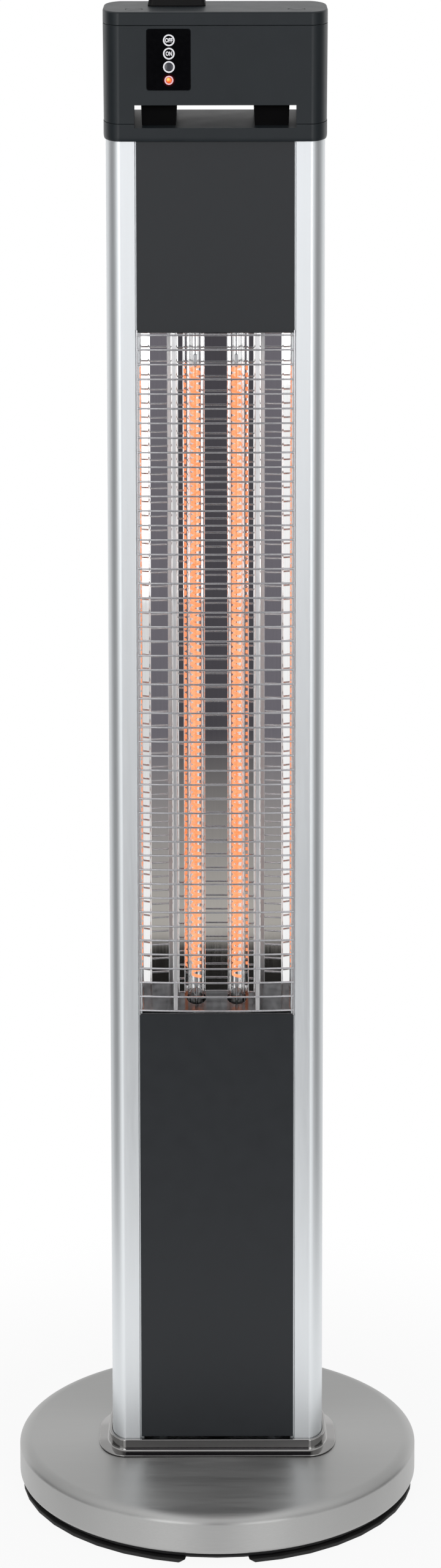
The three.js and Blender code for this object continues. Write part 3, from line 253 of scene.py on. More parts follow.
def new_tree(name, kind, inputs, outputs):
    """A node group with named sockets, each given as name: (type, default)."""
    tree = bpy.data.node_groups.new(name, kind)
    for label, (socket_type, default) in inputs.items():
        socket = tree.interface.new_socket(label, in_out="INPUT", socket_type=socket_type)
        if default is not None:
            socket.default_value = default
    for label, socket_type in outputs.items():
        tree.interface.new_socket(label, in_out="OUTPUT", socket_type=socket_type)
    return tree


def grain_group():
    """Fine grain with slow blotches: a colour, a roughness and a height."""
    name = "fine grain"
    if name in bpy.data.node_groups:
        return bpy.data.node_groups[name]
    number, vector, shade = "NodeSocketFloat", "NodeSocketVector", "NodeSocketColor"
    tree = new_tree(
        name,
        "ShaderNodeTree",
        {
            "Place": (vector, None),
            "Stretch": (vector, (1.0, 1.0, 1.0)),
            "Scale": (number, 900.0),
            "Dark": (shade, (0.4, 0.4, 0.4, 1.0)),
            "Light": (shade, (0.6, 0.6, 0.6, 1.0)),
            "Smooth": (number, 0.3),
            "Rough": (number, 0.5),
        },
        {"Colour": shade, "Roughness": number, "Height": number},
    )
    blotch_scale = 0.04
    fine_share, broad_share = 0.55, 0.45
    darkest, lightest = 0.32, 0.68
    given = node(tree, "NodeGroupInput").outputs
    inputs = {0: given["Place"], 1: given["Stretch"]}
    place = node(tree, "ShaderNodeVectorMath", inputs, operation="MULTIPLY").outputs[0]
    fine = node(tree, "ShaderNodeTexNoise", {"Vector": place, "Scale": given["Scale"], "Detail": 3.0})
    broad_scale = maths(tree, "MULTIPLY", given["Scale"], blotch_scale)
    broad = node(tree, "ShaderNodeTexNoise", {"Vector": place, "Scale": broad_scale, "Detail": 2.0})
    fine_part = maths(tree, "MULTIPLY", fine.outputs["Fac"], fine_share)
    broad_part = maths(tree, "MULTIPLY", broad.outputs["Fac"], broad_share)
    blend = maths(tree, "ADD", fine_part, broad_part)
    share = ranged(tree, blend, darkest, lightest)
    results = {
        "Colour": mixed(tree, share, given["Dark"], given["Light"]),
        "Roughness": ranged(tree, blend, darkest, lightest, given["Smooth"], given["Rough"]),
        "Height": fine.outputs["Fac"],
    }
    node(tree, "NodeGroupOutput", results)
    return tree


def dust_group():
    """Thin dust that settles on what faces up: a colour and a roughness."""
    name = "settled dust"
    if name in bpy.data.node_groups:
        return bpy.data.node_groups[name]
    number, vector, shade = "NodeSocketFloat", "NodeSocketVector", "NodeSocketColor"
    tree = new_tree(
        name,
        "ShaderNodeTree",
        {
            "Place": (vector, None),
            "Colour": (shade, (0.5, 0.5, 0.5, 1.0)),
            "Roughness": (number, 0.4),
            "Dust": (shade, (0.30, 0.29, 0.28, 1.0)),
            "Amount": (number, 0.1),
        },
        {"Colour": shade, "Roughness": number},
    )
    patch_scale = 38.0
    dust_roughness = 0.5
    given = node(tree, "NodeGroupInput").outputs
    facing = node(tree, "ShaderNodeSeparateXYZ", {0: node(tree, "ShaderNodeNewGeometry").outputs["Normal"]})
    upward = ranged(tree, facing.outputs["Z"], 0.4, 1.0)
    inputs = {"Vector": given["Place"], "Scale": patch_scale, "Detail": 6.0}
    patches = node(tree, "ShaderNodeTexNoise", inputs)
    patchy = ranged(tree, patches.outputs["Fac"], 0.35, 0.75)
    share = maths(tree, "MULTIPLY", maths(tree, "MULTIPLY", upward, patchy), given["Amount"])
    rougher = maths(tree, "MULTIPLY", share, dust_roughness)
    results = {
        "Colour": mixed(tree, share, given["Colour"], given["Dust"]),
        "Roughness": maths(tree, "ADD", given["Roughness"], rougher, clamp=True),
    }
    node(tree, "NodeGroupOutput", results)
    return tree


def tinted(base, factor):
    return tuple(min(1.0, part * factor) for part in base[:3]) + (1.0,)


def blank(name):
    """A new material, its empty tree, and the place of each point of the piece."""
    material = bpy.data.materials.new(name)
    material.use_nodes = True
    tree = material.node_tree
    tree.nodes.clear()
    return material, tree, node(tree, "ShaderNodeTexCoord").outputs["Object"]


def grain(tree, place, stretch, scale, shades, roughness):
    """The fine grain between two colours and two roughnesses."""
    inputs = {
        "Place": place,
        "Stretch": stretch,
        "Scale": scale,
        "Dark": shades[0],
        "Light": shades[1],
        "Smooth": roughness[0],
        "Rough": roughness[1],
    }
    return node(tree, "ShaderNodeGroup", inputs, node_tree=grain_group()).outputs


def shaded(tree, sockets):
    """Ends the tree with a Principled shader that has these sockets."""
    shader = node(tree, "ShaderNodeBsdfPrincipled", sockets)
    node(tree, "ShaderNodeOutputMaterial", {"Surface": shader.outputs[0]})


def grained(
    name, base, spread, roughness, scale, stretch=(1, 1, 1), bump=0.15, depth=0.03 * MM, dust=0.0, **plain
):
    """A material from the grain and dust groups; plain holds the shader's own uniform sockets."""
    if name in bpy.data.materials:
        return bpy.data.materials[name]
    material, tree, place = blank(name)
    shades = (tinted(base, 1 - spread), tinted(base, 1 + spread))
    surface = grain(tree, place, stretch, scale, shades, roughness)
    shade, rough = surface["Colour"], surface["Roughness"]
    if dust:
        inputs = {"Place": place, "Colour": shade, "Roughness": rough, "Amount": dust}
        settled = node(tree, "ShaderNodeGroup", inputs, node_tree=dust_group()).outputs
        shade, rough = settled["Colour"], settled["Roughness"]
    inputs = {"Strength": bump, "Distance": depth, "Height": surface["Height"]}
    relief = node(tree, "ShaderNodeBump", inputs).outputs["Normal"]
    sockets = {"Base Color": shade, "Roughness": rough, "Normal": relief}
    sockets.update({socket.replace("_", " "): value for socket, value in plain.items()})
    shaded(tree, sockets)
    return material


# For each finish: colour, spread of the grain, smoothest and roughest place, scale, and what it has beside
FINISHES = {
    "satin aluminium": (
        "aluminium", 0.012, (0.42, 0.50), 2600.0, dict(stretch=(1, 1, 0.012), bump=0.05, Metallic=1.0),
    ),
    "brushed steel": (
        "steel", 0.05, (0.36, 0.46), 1500.0,
        dict(
            stretch=(0.02, 1, 1), bump=0.08, depth=0.04 * MM, Metallic=1.0, Anisotropic=0.75,
            Anisotropic_Rotation=0.25,
        ),
    ),
    "polished chrome": ("chrome", 0.02, (0.05, 0.10), 400.0, dict(bump=0.03, Metallic=1.0)),
    "polished reflector sheet": (
        "reflector", 0.03, (0.02, 0.045), 900.0, dict(stretch=(1, 1, 0.03), bump=0.05, Metallic=1.0),
    ),
    # Polished foot sheet whose dark colour is a painted dark reflection of the room round it
    "heat dulled sheet": (
        (0.15, 0.15, 0.155), 0.55, (0.06, 0.14), 160.0,
        dict(stretch=(1, 0.3, 0.3), bump=0.3, depth=0.1 * MM, Metallic=1.0),
    ),
    "charcoal paint": ("paint", 0.10, (0.42, 0.52), 1800.0, dict(bump=0.25, dust=0.05)),
    "charcoal plastic": ("plastic", 0.08, (0.36, 0.44), 1500.0, dict(dust=0.05, Specular_IOR_Level=0.34)),
    "black plastic": (
        "black", 0.15, (0.45, 0.6), 1400.0, dict(bump=0.25, dust=0.02, Specular_IOR_Level=0.2),
    ),
    # Black plastic darkened further and nearly without gloss: painted shade for the ducts deep in the slot
    "dull black plastic": (
        (0.0009, 0.0009, 0.0012), 0.2, (0.5, 0.65), 1400.0, dict(bump=0.2, Specular_IOR_Level=0.06),
    ),
    "gloss black": ("gloss", 0.2, (0.08, 0.14), 300.0, dict(bump=0.02, Specular_IOR_Level=0.25)),
    "guard steel": ("wire", 0.08, (0.15, 0.25), 1600.0, dict(bump=0.1, Metallic=1.0)),
    "guard bar steel": ("bar", 0.05, (0.3, 0.42), 1600.0, dict(stretch=(1, 1, 0.05), Metallic=1.0)),
    "zinc plated steel": ((0.46, 0.47, 0.49), 0.10, (0.3, 0.5), 500.0, dict(Metallic=1.0)),
    "painted cast iron": (
        (0.02, 0.02, 0.022), 0.25, (0.5, 0.7), 420.0, dict(bump=0.6, depth=0.2 * MM, Metallic=0.2),
    ),
    "black rubber": ((0.012, 0.012, 0.012), 0.2, (0.6, 0.8), 1200.0, dict(bump=0.4, dust=0.1)),
    "unglazed ceramic": ((0.66, 0.63, 0.58), 0.06, (0.55, 0.75), 900.0, dict(bump=0.3, dust=0.05)),
    "circuit board": ((0.01, 0.07, 0.03), 0.25, (0.35, 0.5), 350.0, dict(bump=0.2)),
    "smoked lens": (
        (0.085, 0.088, 0.104), 0.12, (0.12, 0.2), 500.0,
        dict(bump=0.03, Coat_Weight=0.4, Coat_Roughness=0.05),
    ),
    # Print round the lamp, pink from a painted glow of the lamp: emission in the print
    "lit printed ring": (
        (0.95, 0.74, 0.80), 0.04, (0.45, 0.55), 2500.0,
        dict(bump=0.1, Emission_Color=(1.0, 0.42, 0.50, 1), Emission_Strength=0.32),
    ),
}


def finish(name):
    """The material of one row of the table, made when it is first asked for."""
    base, spread, roughness, scale, beside = FINISHES[name]
    shade = getattr(colours(), base) if isinstance(base, str) else base
    return grained(name, shade, spread, roughness, scale, **beside)


def found(tree, kind):
    return next(item for item in tree.nodes if item.type == kind)


def brushed_steel():
    """Steel spun while it was brushed, so that its gloss runs out from the middle."""
    material = finish("brushed steel")
    tree = material.node_tree
    shader = found(tree, "BSDF_PRINCIPLED")
    around = node(tree, "ShaderNodeTangent", direction_type="RADIAL", axis="Z")
    tree.links.new(around.outputs[0], shader.inputs["Tangent"])
    return material


def printed_white_painted_glow():
    """White print with a painted glow: a little emission in its own colour."""
    shade = tuple(colours().print) + (1,)
    return grained(
        "printed white", colours().print, 0.03, (0.45, 0.55), 2500.0, bump=0.1, Emission_Color=shade,
        Emission_Strength=0.3,
    )


def quartz_glass():
    """Clear quartz with faint drawn lines in its roughness."""
    name = "quartz glass"
    if name in bpy.data.materials:
        return bpy.data.materials[name]
    material, tree, place = blank(name)
    surface = grain(tree, place, (1, 1, 0.02), 700.0, ((0.98, 0.98, 0.985, 1), (1, 1, 1, 1)), (0.0, 0.03))
    shaded(
        tree,
        {
            "Base Color": surface["Colour"],
            "Roughness": surface["Roughness"],
            "Transmission Weight": 1.0,
            "IOR": 1.46,
        },
    )
    return material


def glowing_carbon():
    """Carbon strip at red heat, hotter in some places than in others."""
    name = "glowing carbon"
    if name in bpy.data.materials:
        return bpy.data.materials[name]
    material, tree, place = blank(name)
    red, green, blue = colours().glow
    cooler = (red, green * 0.72, blue * 0.5, 1)
    hotter = (1.0, green * 1.3, blue * 1.7, 1)
    surface = grain(tree, place, (1, 1, 1), 320.0, (cooler, hotter), (0.7, 0.9))
    shaded(
        tree,
        {
            "Base Color": (0.05, 0.02, 0.01, 1),
            "Roughness": surface["Roughness"],
            "Emission Color": surface["Colour"],
            "Emission Strength": 1.35,
        },
    )
    return material


def near_point(tree, place, point, inner, outer):
    """A mask that is 1 within inner of a point and 0 beyond outer."""
    away = node(tree, "ShaderNodeVectorMath", {0: place, 1: point}, operation="DISTANCE").outputs["Value"]
    return ranged(tree, away, inner, outer, 1.0, 0.0, soft=True)


def lit_lamp(point):
    """Glowing lamp lens with a painted highlight up and to the left of its middle."""
    material, tree, place = blank("lit lamp lens")
    # The yellow spot up and to the left is a painted highlight in the lamp's glow
    painted_highlight_point = point + Vector((-0.45 * MM, 0, 0.7 * MM))
    painted_highlight = near_point(tree, place, painted_highlight_point, 0.3 * MM, 1.9 * MM)
    middle = near_point(tree, place, point, 1.5 * MM, 2.3 * MM)
    red, green, blue = colours().lamp
    edge_shade = (red * 0.42, green * 0.5, blue * 2.0, 1)
    middle_shade = (red, green * 2.2, blue * 1.2, 1)
    painted_highlight_shade = (1.0, 0.72, 0.16, 1)
    glow = mixed(tree, painted_highlight, mixed(tree, middle, edge_shade, middle_shade), painted_highlight_shade)
    shaded(
        tree,
        {
            "Base Color": (0.35, 0.03, 0.01, 1),
            "Roughness": 0.2,
            "Emission Color": glow,
            "Emission Strength": 1.0,
        },
    )
    return material


# Meshes

LATHE_WELD = 1e-7
CUT_WELD = 2e-6
CAD_WELD = 1e-6
CAD_FLATNESS = math.radians(0.6)
SIDES_FINE = 48
SIDES_COARSE = 24


def linked(name, data):
    piece = bpy.data.objects.new(name, data)
    bpy.context.scene.collection.objects.link(piece)
    return piece


def new_piece(name, points, faces):
    mesh = bpy.data.meshes.new(name)
    mesh.from_pydata([tuple(point) for point in points], [], faces)
    mesh.validate()
    return linked(name, mesh)


def loft(name, rings, joined=False):
    """Surface through rings of equal length, capped at both ends, or joined end to start."""
    count = len(rings[0])
    points = [point for row in rings for point in row]
    faces = []
    for band in range(len(rings) if joined else len(rings) - 1):
        low, high = band * count, ((band + 1) % len(rings)) * count
        for step in range(count):
            beside = (step + 1) % count
            faces.append((low + step, low + beside, high + beside, high + step))
    if not joined:
        faces.append(tuple(reversed(range(count))))
        faces.append(tuple(range(len(points) - count, len(points))))
    return new_piece(name, points, faces)


def placed(piece, matrix):
    piece.data.transform(matrix)
    return piece


def lathe(name, profile, sides, joined=True, matrix=None):
    """Turned piece about the Z axis from (radius, height) points that run up the outside."""
    rings = [
        [
            (radius * math.cos(math.tau * step / sides), radius * math.sin(math.tau * step / sides), height)
            for step in range(sides)
        ]
        for radius, height in profile
    ]
    piece = loft(name, rings, joined)
    work = bmesh.new()
    work.from_mesh(piece.data)
    bmesh.ops.remove_doubles(work, verts=work.verts, dist=LATHE_WELD)
    bmesh.ops.recalc_face_normals(work, faces=work.faces)
    work.to_mesh(piece.data)
    work.free()
    return placed(piece, matrix) if matrix else piece


def baked(piece):
    """Gives the piece the mesh that its modifiers make."""
    bpy.context.view_layer.update()
    graph = bpy.context.evaluated_depsgraph_get()
    seen = piece.evaluated_get(graph)
    mesh = bpy.data.meshes.new_from_object(seen, preserve_all_data_layers=True, depsgraph=graph)
    piece.modifiers.clear()
    plain = piece.data
    piece.data = mesh
    mesh.name = piece.name
    bpy.data.meshes.remove(plain)
    return piece


def cut(piece, *tools):
    """Cuts the tools out of the piece and removes them."""
    for tool in tools:
        boolean = piece.modifiers.new("cut", "BOOLEAN")
        boolean.operation = "DIFFERENCE"
        boolean.solver = "EXACT"
        boolean.object = tool
    baked(piece)
    for tool in tools:
        mesh = tool.data
        bpy.data.objects.remove(tool)
        bpy.data.meshes.remove(mesh)
    work = bmesh.new()
    work.from_mesh(piece.data)
    bmesh.ops.remove_doubles(work, verts=work.verts, dist=CUT_WELD)
    bmesh.ops.dissolve_degenerate(work, edges=work.edges, dist=CUT_WELD)
    work.to_mesh(piece.data)
    work.free()
    return piece


def softened(piece, width=0.5 * MM, segments=2, angle=32):
    """Rounds the sharp edges, and shades the rest smooth with flat faces kept flat."""
    piece.data.shade_smooth()
    if width:
        bevel = piece.modifiers.new("soft edges", "BEVEL")
        bevel.width = width
        bevel.segments = segments
        bevel.limit_method = "ANGLE"
        bevel.angle_limit = math.radians(angle)
        bevel.use_clamp_overlap = True
    else:
        piece.data.set_sharp_from_angle(angle=math.radians(angle))
    weighted = piece.modifiers.new("flat faces", "WEIGHTED_NORMAL")
    weighted.keep_sharp = True
    weighted.mode = "FACE_AREA"
    return baked(piece)


def cad_copy(node_name, name):
    """A cleaned copy of a CAD node's mesh."""
    work = bmesh.new()
    work.from_mesh(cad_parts[node_name].data)
    bmesh.ops.remove_doubles(work, verts=work.verts, dist=CAD_WELD)
    bmesh.ops.dissolve_limit(work, angle_limit=CAD_FLATNESS, verts=work.verts, edges=work.edges)
    mesh = bpy.data.meshes.new(name)
    work.to_mesh(mesh)
    work.free()
    return linked(name, mesh)


def block(name, low, high):
    """Upright box used as a cutter or as a blank."""
    x0, y0, z0 = low
    x1, y1, z1 = high
    plan = [(x0, y0), (x1, y0), (x1, y1), (x0, y1)]
    return loft(name, [[(x, y, z) for x, y in plan] for z in (z0, z1)])


def extruded(name, outline_points, low, high):
    """Prism on a flat outline; low and high give a height for each depth y."""
    return loft(name, [[(x, y, level(y)) for x, y in outline_points] for level in (low, high)])


def flat(height):
    return lambda y: height


def quarter_turn(steps):
    """Angles from nought to a right angle in equal steps."""
    return [math.pi / 2 * step / steps for step in range(steps + 1)]


def rounded_outline(half_x, half_y, radius, steps=8):
    """Anticlockwise rectangle with round corners about the origin."""
    points = []
    for quarter, (side_x, side_y) in enumerate(((1, 1), (-1, 1), (-1, -1), (1, -1))):
        for step in range(steps + 1):
            angle = (quarter + step / steps) * math.pi / 2
            x = side_x * (half_x - radius) + radius * math.cos(angle)
            y = side_y * (half_y - radius) + radius * math.sin(angle)
            points.append((x, y))
    return points


def settle(piece, material, body="heater", nodes=()):
    """Gives a finished piece its material, its body and the nodes that it stands for."""
    piece.data.materials.clear()
    piece.data.materials.append(material)
    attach(piece, body)
    if nodes:
        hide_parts(*nodes)
    return piece


SOCKETS = {int: "NodeSocketInt", float: "NodeSocketFloat", tuple: "NodeSocketVector"}


def geometry_tree(name, sizes):
    """A tree that takes a piece, these sizes and a material, and gives a piece; and what it is given."""
    inputs = {"Geometry": ("NodeSocketGeometry", None)}
    inputs.update({label: (SOCKETS[type(value)], value) for label, value in sizes.items()})
    inputs["Material"] = ("NodeSocketMaterial", None)
    tree = new_tree(name, "GeometryNodeTree", inputs, {"Geometry": "NodeSocketGeometry"})
    return tree, node(tree, "NodeGroupInput").outputs


def settle_copy(node_name, ending, width, look, segments=2):
    """Makes a softened copy of a CAD solid with a finish, which stands for the solid's node."""
    piece = softened(cad_copy(node_name, f"{node_name}_{ending}"), width, segments)
    settle(piece, finish(look), nodes=(node_name,))


def grown_by(tree_name, piece, values):
    """Runs a geometry tree on the piece with the given inputs and keeps the mesh that it makes."""
    tree = bpy.data.node_groups[tree_name]
    modifier = piece.modifiers.new(tree_name, "NODES")
    modifier.node_group = tree
    for item in tree.interface.items_tree:
        if item.item_type == "SOCKET" and item.in_out == "INPUT" and item.name in values:
            modifier[item.identifier] = values[item.name]
    return baked(piece)


def combine(tree, x, y, z):
    return node(tree, "ShaderNodeCombineXYZ", {0: x, 1: y, 2: z}).outputs[0]


def swept(tree, curve, radius, sides):
    """A round rod along a curve, closed at both ends."""
    circle = node(tree, "GeometryNodeCurvePrimitiveCircle", {"Resolution": sides, "Radius": radius})
    inputs = {"Curve": curve, "Profile Curve": circle.outputs["Curve"], "Fill Caps": True}
    return node(tree, "GeometryNodeCurveToMesh", inputs).outputs[0]


def closing(tree, geometry, material):
    """Smooth, realized geometry with its material, to the tree's output."""
    real = node(tree, "GeometryNodeRealizeInstances", {0: geometry}).outputs[0]
    smooth = node(tree, "GeometryNodeSetShadeSmooth", {0: real}).outputs[0]
    dressed = node(tree, "GeometryNodeSetMaterial", {"Geometry": smooth, "Material": material}).outputs[0]
    node(tree, "NodeGroupOutput", {0: dressed})


def guard_tree():
    """Bowed wires one above the other between two upright edge wires."""
    points_along, sides = 29, 10
    sizes = {
        "Wires": 48,
        "Pitch": 0.011,
        "First Height": 0.39,
        "Edge": 0.0575,
        "Depth": -0.04,
        "Bow": 0.003,
        "Wire Radius": 0.00075,
        "Tip": 0.0036,
    }
    tree, given = geometry_tree("bowed guard wires", sizes)
    left = maths(tree, "MULTIPLY", given["Edge"], -1.0)
    start = combine(tree, left, given["Depth"], given["First Height"])
    end = combine(tree, given["Edge"], given["Depth"], given["First Height"])
    line = node(tree, "GeometryNodeCurvePrimitiveLine", {"Start": start, "End": end}).outputs[0]
    fine = node(tree, "GeometryNodeResampleCurve", {"Curve": line, "Count": points_along}).outputs[0]
    position = node(tree, "GeometryNodeInputPosition").outputs[0]
    across = node(tree, "ShaderNodeSeparateXYZ", {0: position}).outputs[0]
    share = maths(tree, "DIVIDE", across, given["Edge"])
    dip = maths(tree, "SUBTRACT", maths(tree, "MULTIPLY", share, share), 1.0)
    offset = combine(tree, 0.0, maths(tree, "MULTIPLY", dip, given["Bow"]), 0.0)
    bowed = node(tree, "GeometryNodeSetPosition", {"Geometry": fine, "Offset": offset}).outputs[0]
    wire = swept(tree, bowed, given["Wire Radius"], sides)
    step = combine(tree, 0.0, 0.0, given["Pitch"])
    inputs = {"Count": given["Wires"], "Start Location": (0, 0, 0), "Offset": step}
    stack = node(tree, "GeometryNodeMeshLine", inputs).outputs[0]
    wires = node(tree, "GeometryNodeInstanceOnPoints", {"Points": stack, "Instance": wire}).outputs[0]
    low = maths(tree, "SUBTRACT", given["First Height"], given["Tip"])
    climb = maths(tree, "MULTIPLY", maths(tree, "SUBTRACT", given["Wires"], 1.0), given["Pitch"])
    high = maths(tree, "ADD", maths(tree, "ADD", given["First Height"], climb), given["Tip"])
    parts = [wires]
    for side in (left, given["Edge"]):
        foot = combine(tree, side, given["Depth"], low)
        tip = combine(tree, side, given["Depth"], high)
        upright = node(tree, "GeometryNodeCurvePrimitiveLine", {"Start": foot, "End": tip}).outputs[0]
        parts.append(swept(tree, upright, given["Wire Radius"], sides))
    joined = node(tree, "GeometryNodeJoinGeometry")
    for part in parts:
        tree.links.new(part, joined.inputs[0])
    closing(tree, joined.outputs[0], given["Material"])


def spiral_tree():
    """Flat strip wound in a spiral about an upright axis."""
    points_per_curl = 18
    sizes = {
        "Curls": 138.0,
        "Radius": 0.0035,
        "Climb": 0.471,
        "Strip Width": 0.0014,
        "Strip Thickness": 0.0003,
        "Place": (0, 0, 0),
    }
    tree, given = geometry_tree("wound strip", sizes)
    inputs = {
        "Resolution": points_per_curl,
        "Rotations": given["Curls"],
        "Start Radius": given["Radius"],
        "End Radius": given["Radius"],
        "Height": given["Climb"],
    }
    spiral = node(tree, "GeometryNodeCurveSpiral", inputs).outputs[0]
    inputs = {"Width": given["Strip Thickness"], "Height": given["Strip Width"]}
    strip = node(tree, "GeometryNodeCurvePrimitiveQuadrilateral", inputs).outputs[0]
    upright = node(tree, "GeometryNodeSetCurveNormal", {"Curve": spiral}, mode="Z_UP").outputs[0]
    inputs = {"Curve": upright, "Profile Curve": strip, "Fill Caps": True}
    wound = node(tree, "GeometryNodeCurveToMesh", inputs).outputs[0]
    inputs = {"Geometry": wound, "Translation": given["Place"]}
    moved = node(tree, "GeometryNodeTransform", inputs).outputs[0]
    closing(tree, moved, given["Material"])


def repeat_tree():
    """The given piece on each point of an upright grid, which is then tilted and moved."""
    sizes = {
        "Across": 0.1,
        "Along": 0.1,
        "Count Across": 2,
        "Count Along": 2,
        "Tilt": 0.0,
        "Place": (0, 0, 0),
    }
    tree, given = geometry_tree("pieces on a grid", sizes)
    inputs = {
        "Size X": given["Across"],
        "Size Y": given["Along"],
        "Vertices X": given["Count Across"],
        "Vertices Y": given["Count Along"],
    }
    grid = node(tree, "GeometryNodeMeshGrid", inputs).outputs[0]
    inputs = {"Points": grid, "Instance": given["Geometry"]}
    copies = node(tree, "GeometryNodeInstanceOnPoints", inputs).outputs[0]
    tilt = combine(tree, given["Tilt"], 0.0, 0.0)
    inputs = {"Geometry": copies, "Translation": given["Place"], "Rotation": tilt}
    moved = node(tree, "GeometryNodeTransform", inputs).outputs[0]
    closing(tree, moved, given["Material"])


# The column's outline, and the slopes of the head

BEND_SHARES = (0.0, 0.25, 0.5, 0.75, 1.0)
# How far a cutter runs past what it cuts, and heights well under and well over the head
OVERCUT = 8 * MM
BELOW_HEAD = 0.9
ABOVE_HEAD = 1.3


def bend(start, corner, end):
    """Points of the round bend from start to end inside a sharp corner."""
    return [
        start * (1 - share) ** 2 + corner * 2 * share * (1 - share) + end * share**2
        for share in BEND_SHARES
    ]


def outline(grow=0.0, steps=18, crease=0.9 * MM):
    """The column's outline, moved outwards by grow, anticlockwise from the front right crease."""
    sizes = column_sizes()
    reach, depth = sizes.corner_reach, sizes.corner_depth
    start = math.acos(sizes.corner_past_crease / reach)
    centre = Vector((sizes.width / 2 - reach, sizes.front + depth * math.sin(start)))

    def bare(angle):
        return Vector((reach * math.cos(angle), -depth * math.sin(angle)))

    def normal(angle):
        x, y = bare(angle)
        return Vector((x / reach**2, y / depth**2)).normalized()

    slope = normal(start)
    tip = centre + bare(start) + grow * Vector((slope.x / (1 - slope.y), -1))
    first = start - crease / math.hypot(reach * math.sin(start), depth * math.cos(start))
    angles = [first * (1 - step / steps) for step in range(steps + 1)]
    corner = [centre + bare(angle) + grow * normal(angle) for angle in angles]
    strip_end = tip - Vector((crease, 0))
    rounding = bend(strip_end, tip, corner[0])[:-1]
    front = [tuple(point) for point in rounding + corner]
    turned_y = sizes.front + sizes.back
    right = front + [(x, turned_y - y) for x, y in reversed(front)]
    return right + [(-x, turned_y - y) for x, y in right]


def ring(grow, level):
    return [(x, y, level(y)) for x, y in outline(grow)]


def head_front():
    return column_sizes().front - head_sizes().grow


def sloped(height, rake, rise=0.0):
    """Height at each depth of a plane that climbs backwards from the head's front."""
    front = head_front()
    return lambda y: height + rise + (y - front) * math.tan(rake)


def slot_cutter(low, high):
    """Block for the head's slot, whose ends spread a little towards the back."""
    sizes, column = head_sizes(), column_sizes()
    front, back = head_front(), column.back + sizes.grow
    spread = sizes.slot_flare * OVERCUT / (back - front)
    near, far = sizes.slot_half - spread, sizes.slot_half + sizes.slot_flare + spread
    front, back = front - OVERCUT, back + OVERCUT
    plan = [(-near, front), (near, front), (far, back), (-far, back)]
    return extruded("slot cutter", plan, low, high)


def lid_matrix():
    sizes = head_sizes()
    return Matrix.Translation((0, head_front(), sizes.lid_top)) @ Matrix.Rotation(sizes.lid_rake, 4, "X")


def facing_front(x, y, z):
    """Matrix that turns a piece made about Z so that its top faces the front, at a place."""
    return Matrix.Translation((x, y, z)) @ Matrix.Rotation(math.pi / 2, 4, "X")


# The studio

FLOOR_RADIUS = 0.62
FLOOR_SIDES = 96
FLOOR_WHITER = {"low": 0.18, "high": 0.58, "first": 0.92, "last": 1.0}
BACKDROP_TURN = math.radians(132)
BACKDROP_HEIGHT = 0.17
DIFFUSE_LOSS = 0.6
LAMP_AIM = Vector((0, 0, 0.6))
LAMPS = (
    # Name, place, size and power
    ("soft key", (-1.2, -2.8, 1.5), 1.6, 18.0),
    ("soft fill", (1.2, -2.8, 1.1), 1.6, 15.0),
    ("soft top", (0.0, 0.3, 2.9), 1.8, 5.0),
)
CAMERA_PLACE = (0.00295, -2.0885, 0.957)
CAMERA_TILT = math.radians(84.116)
CAMERA_ROLL = -0.00135
CAMERA_LENS = 62.79
CAMERA_SENSOR = 36.0
CAMERA_SHIFT = (0.0004, -0.1523)

GREY, COOL, WARM = (1, 1, 1), (1.0, 0.94, 1.08), (1.05, 1.0, 0.93)


def both_sides(stops):
    """The stops of one side of the room, and the same on the other side."""
    return [(-degrees, level, tint) for degrees, level, tint in reversed(stops)] + stops


# Brightness and tint of the room by the direction round the heater, in degrees from the front
ROOM_LEVEL = [
    (-180, 1.0, GREY), (-132, 1.0, GREY), (-122, 0.17, GREY), (-74, 0.17, GREY), (-62, 1.0, GREY),
    (-20, 1.0, GREY), (-14, 0.15, COOL), (-4.5, 0.15, COOL), (-3, 0.065, COOL), (3, 0.065, COOL),
    (4.5, 0.15, COOL), (14, 0.15, COOL), (20, 0.75, GREY), (60, 0.75, GREY), (74, 0.17, GREY),
    (122, 0.17, GREY), (132, 1.0, GREY), (180, 1.0, GREY),
]
SIDES_BELOW = [
    (28, 1.0, GREY), (56, 1.0, GREY), (74, 0.20, GREY), (122, 0.20, GREY), (132, 0.8, GREY),
    (180, 0.8, GREY),
]
ROOM_BELOW = both_sides([(16, 0.40, WARM)] + SIDES_BELOW)
ROOM_GROUND = both_sides([(18, 0.012, WARM)] + SIDES_BELOW)
ROOM_ABOVE = both_sides([(30, 0.05, COOL), (70, 0.66, GREY), (180, 0.66, GREY)])
ROOM_OVERHEAD = both_sides([(180, 0.9, GREY)])
# Each band takes over from the one under it between two heights
ROOM_BANDS = (
    (-0.246, -0.242, ROOM_BELOW),
    (-0.235, -0.17, ROOM_LEVEL),
    (0.34, 0.42, ROOM_ABOVE),
    (0.70, 0.80, ROOM_OVERHEAD),
)


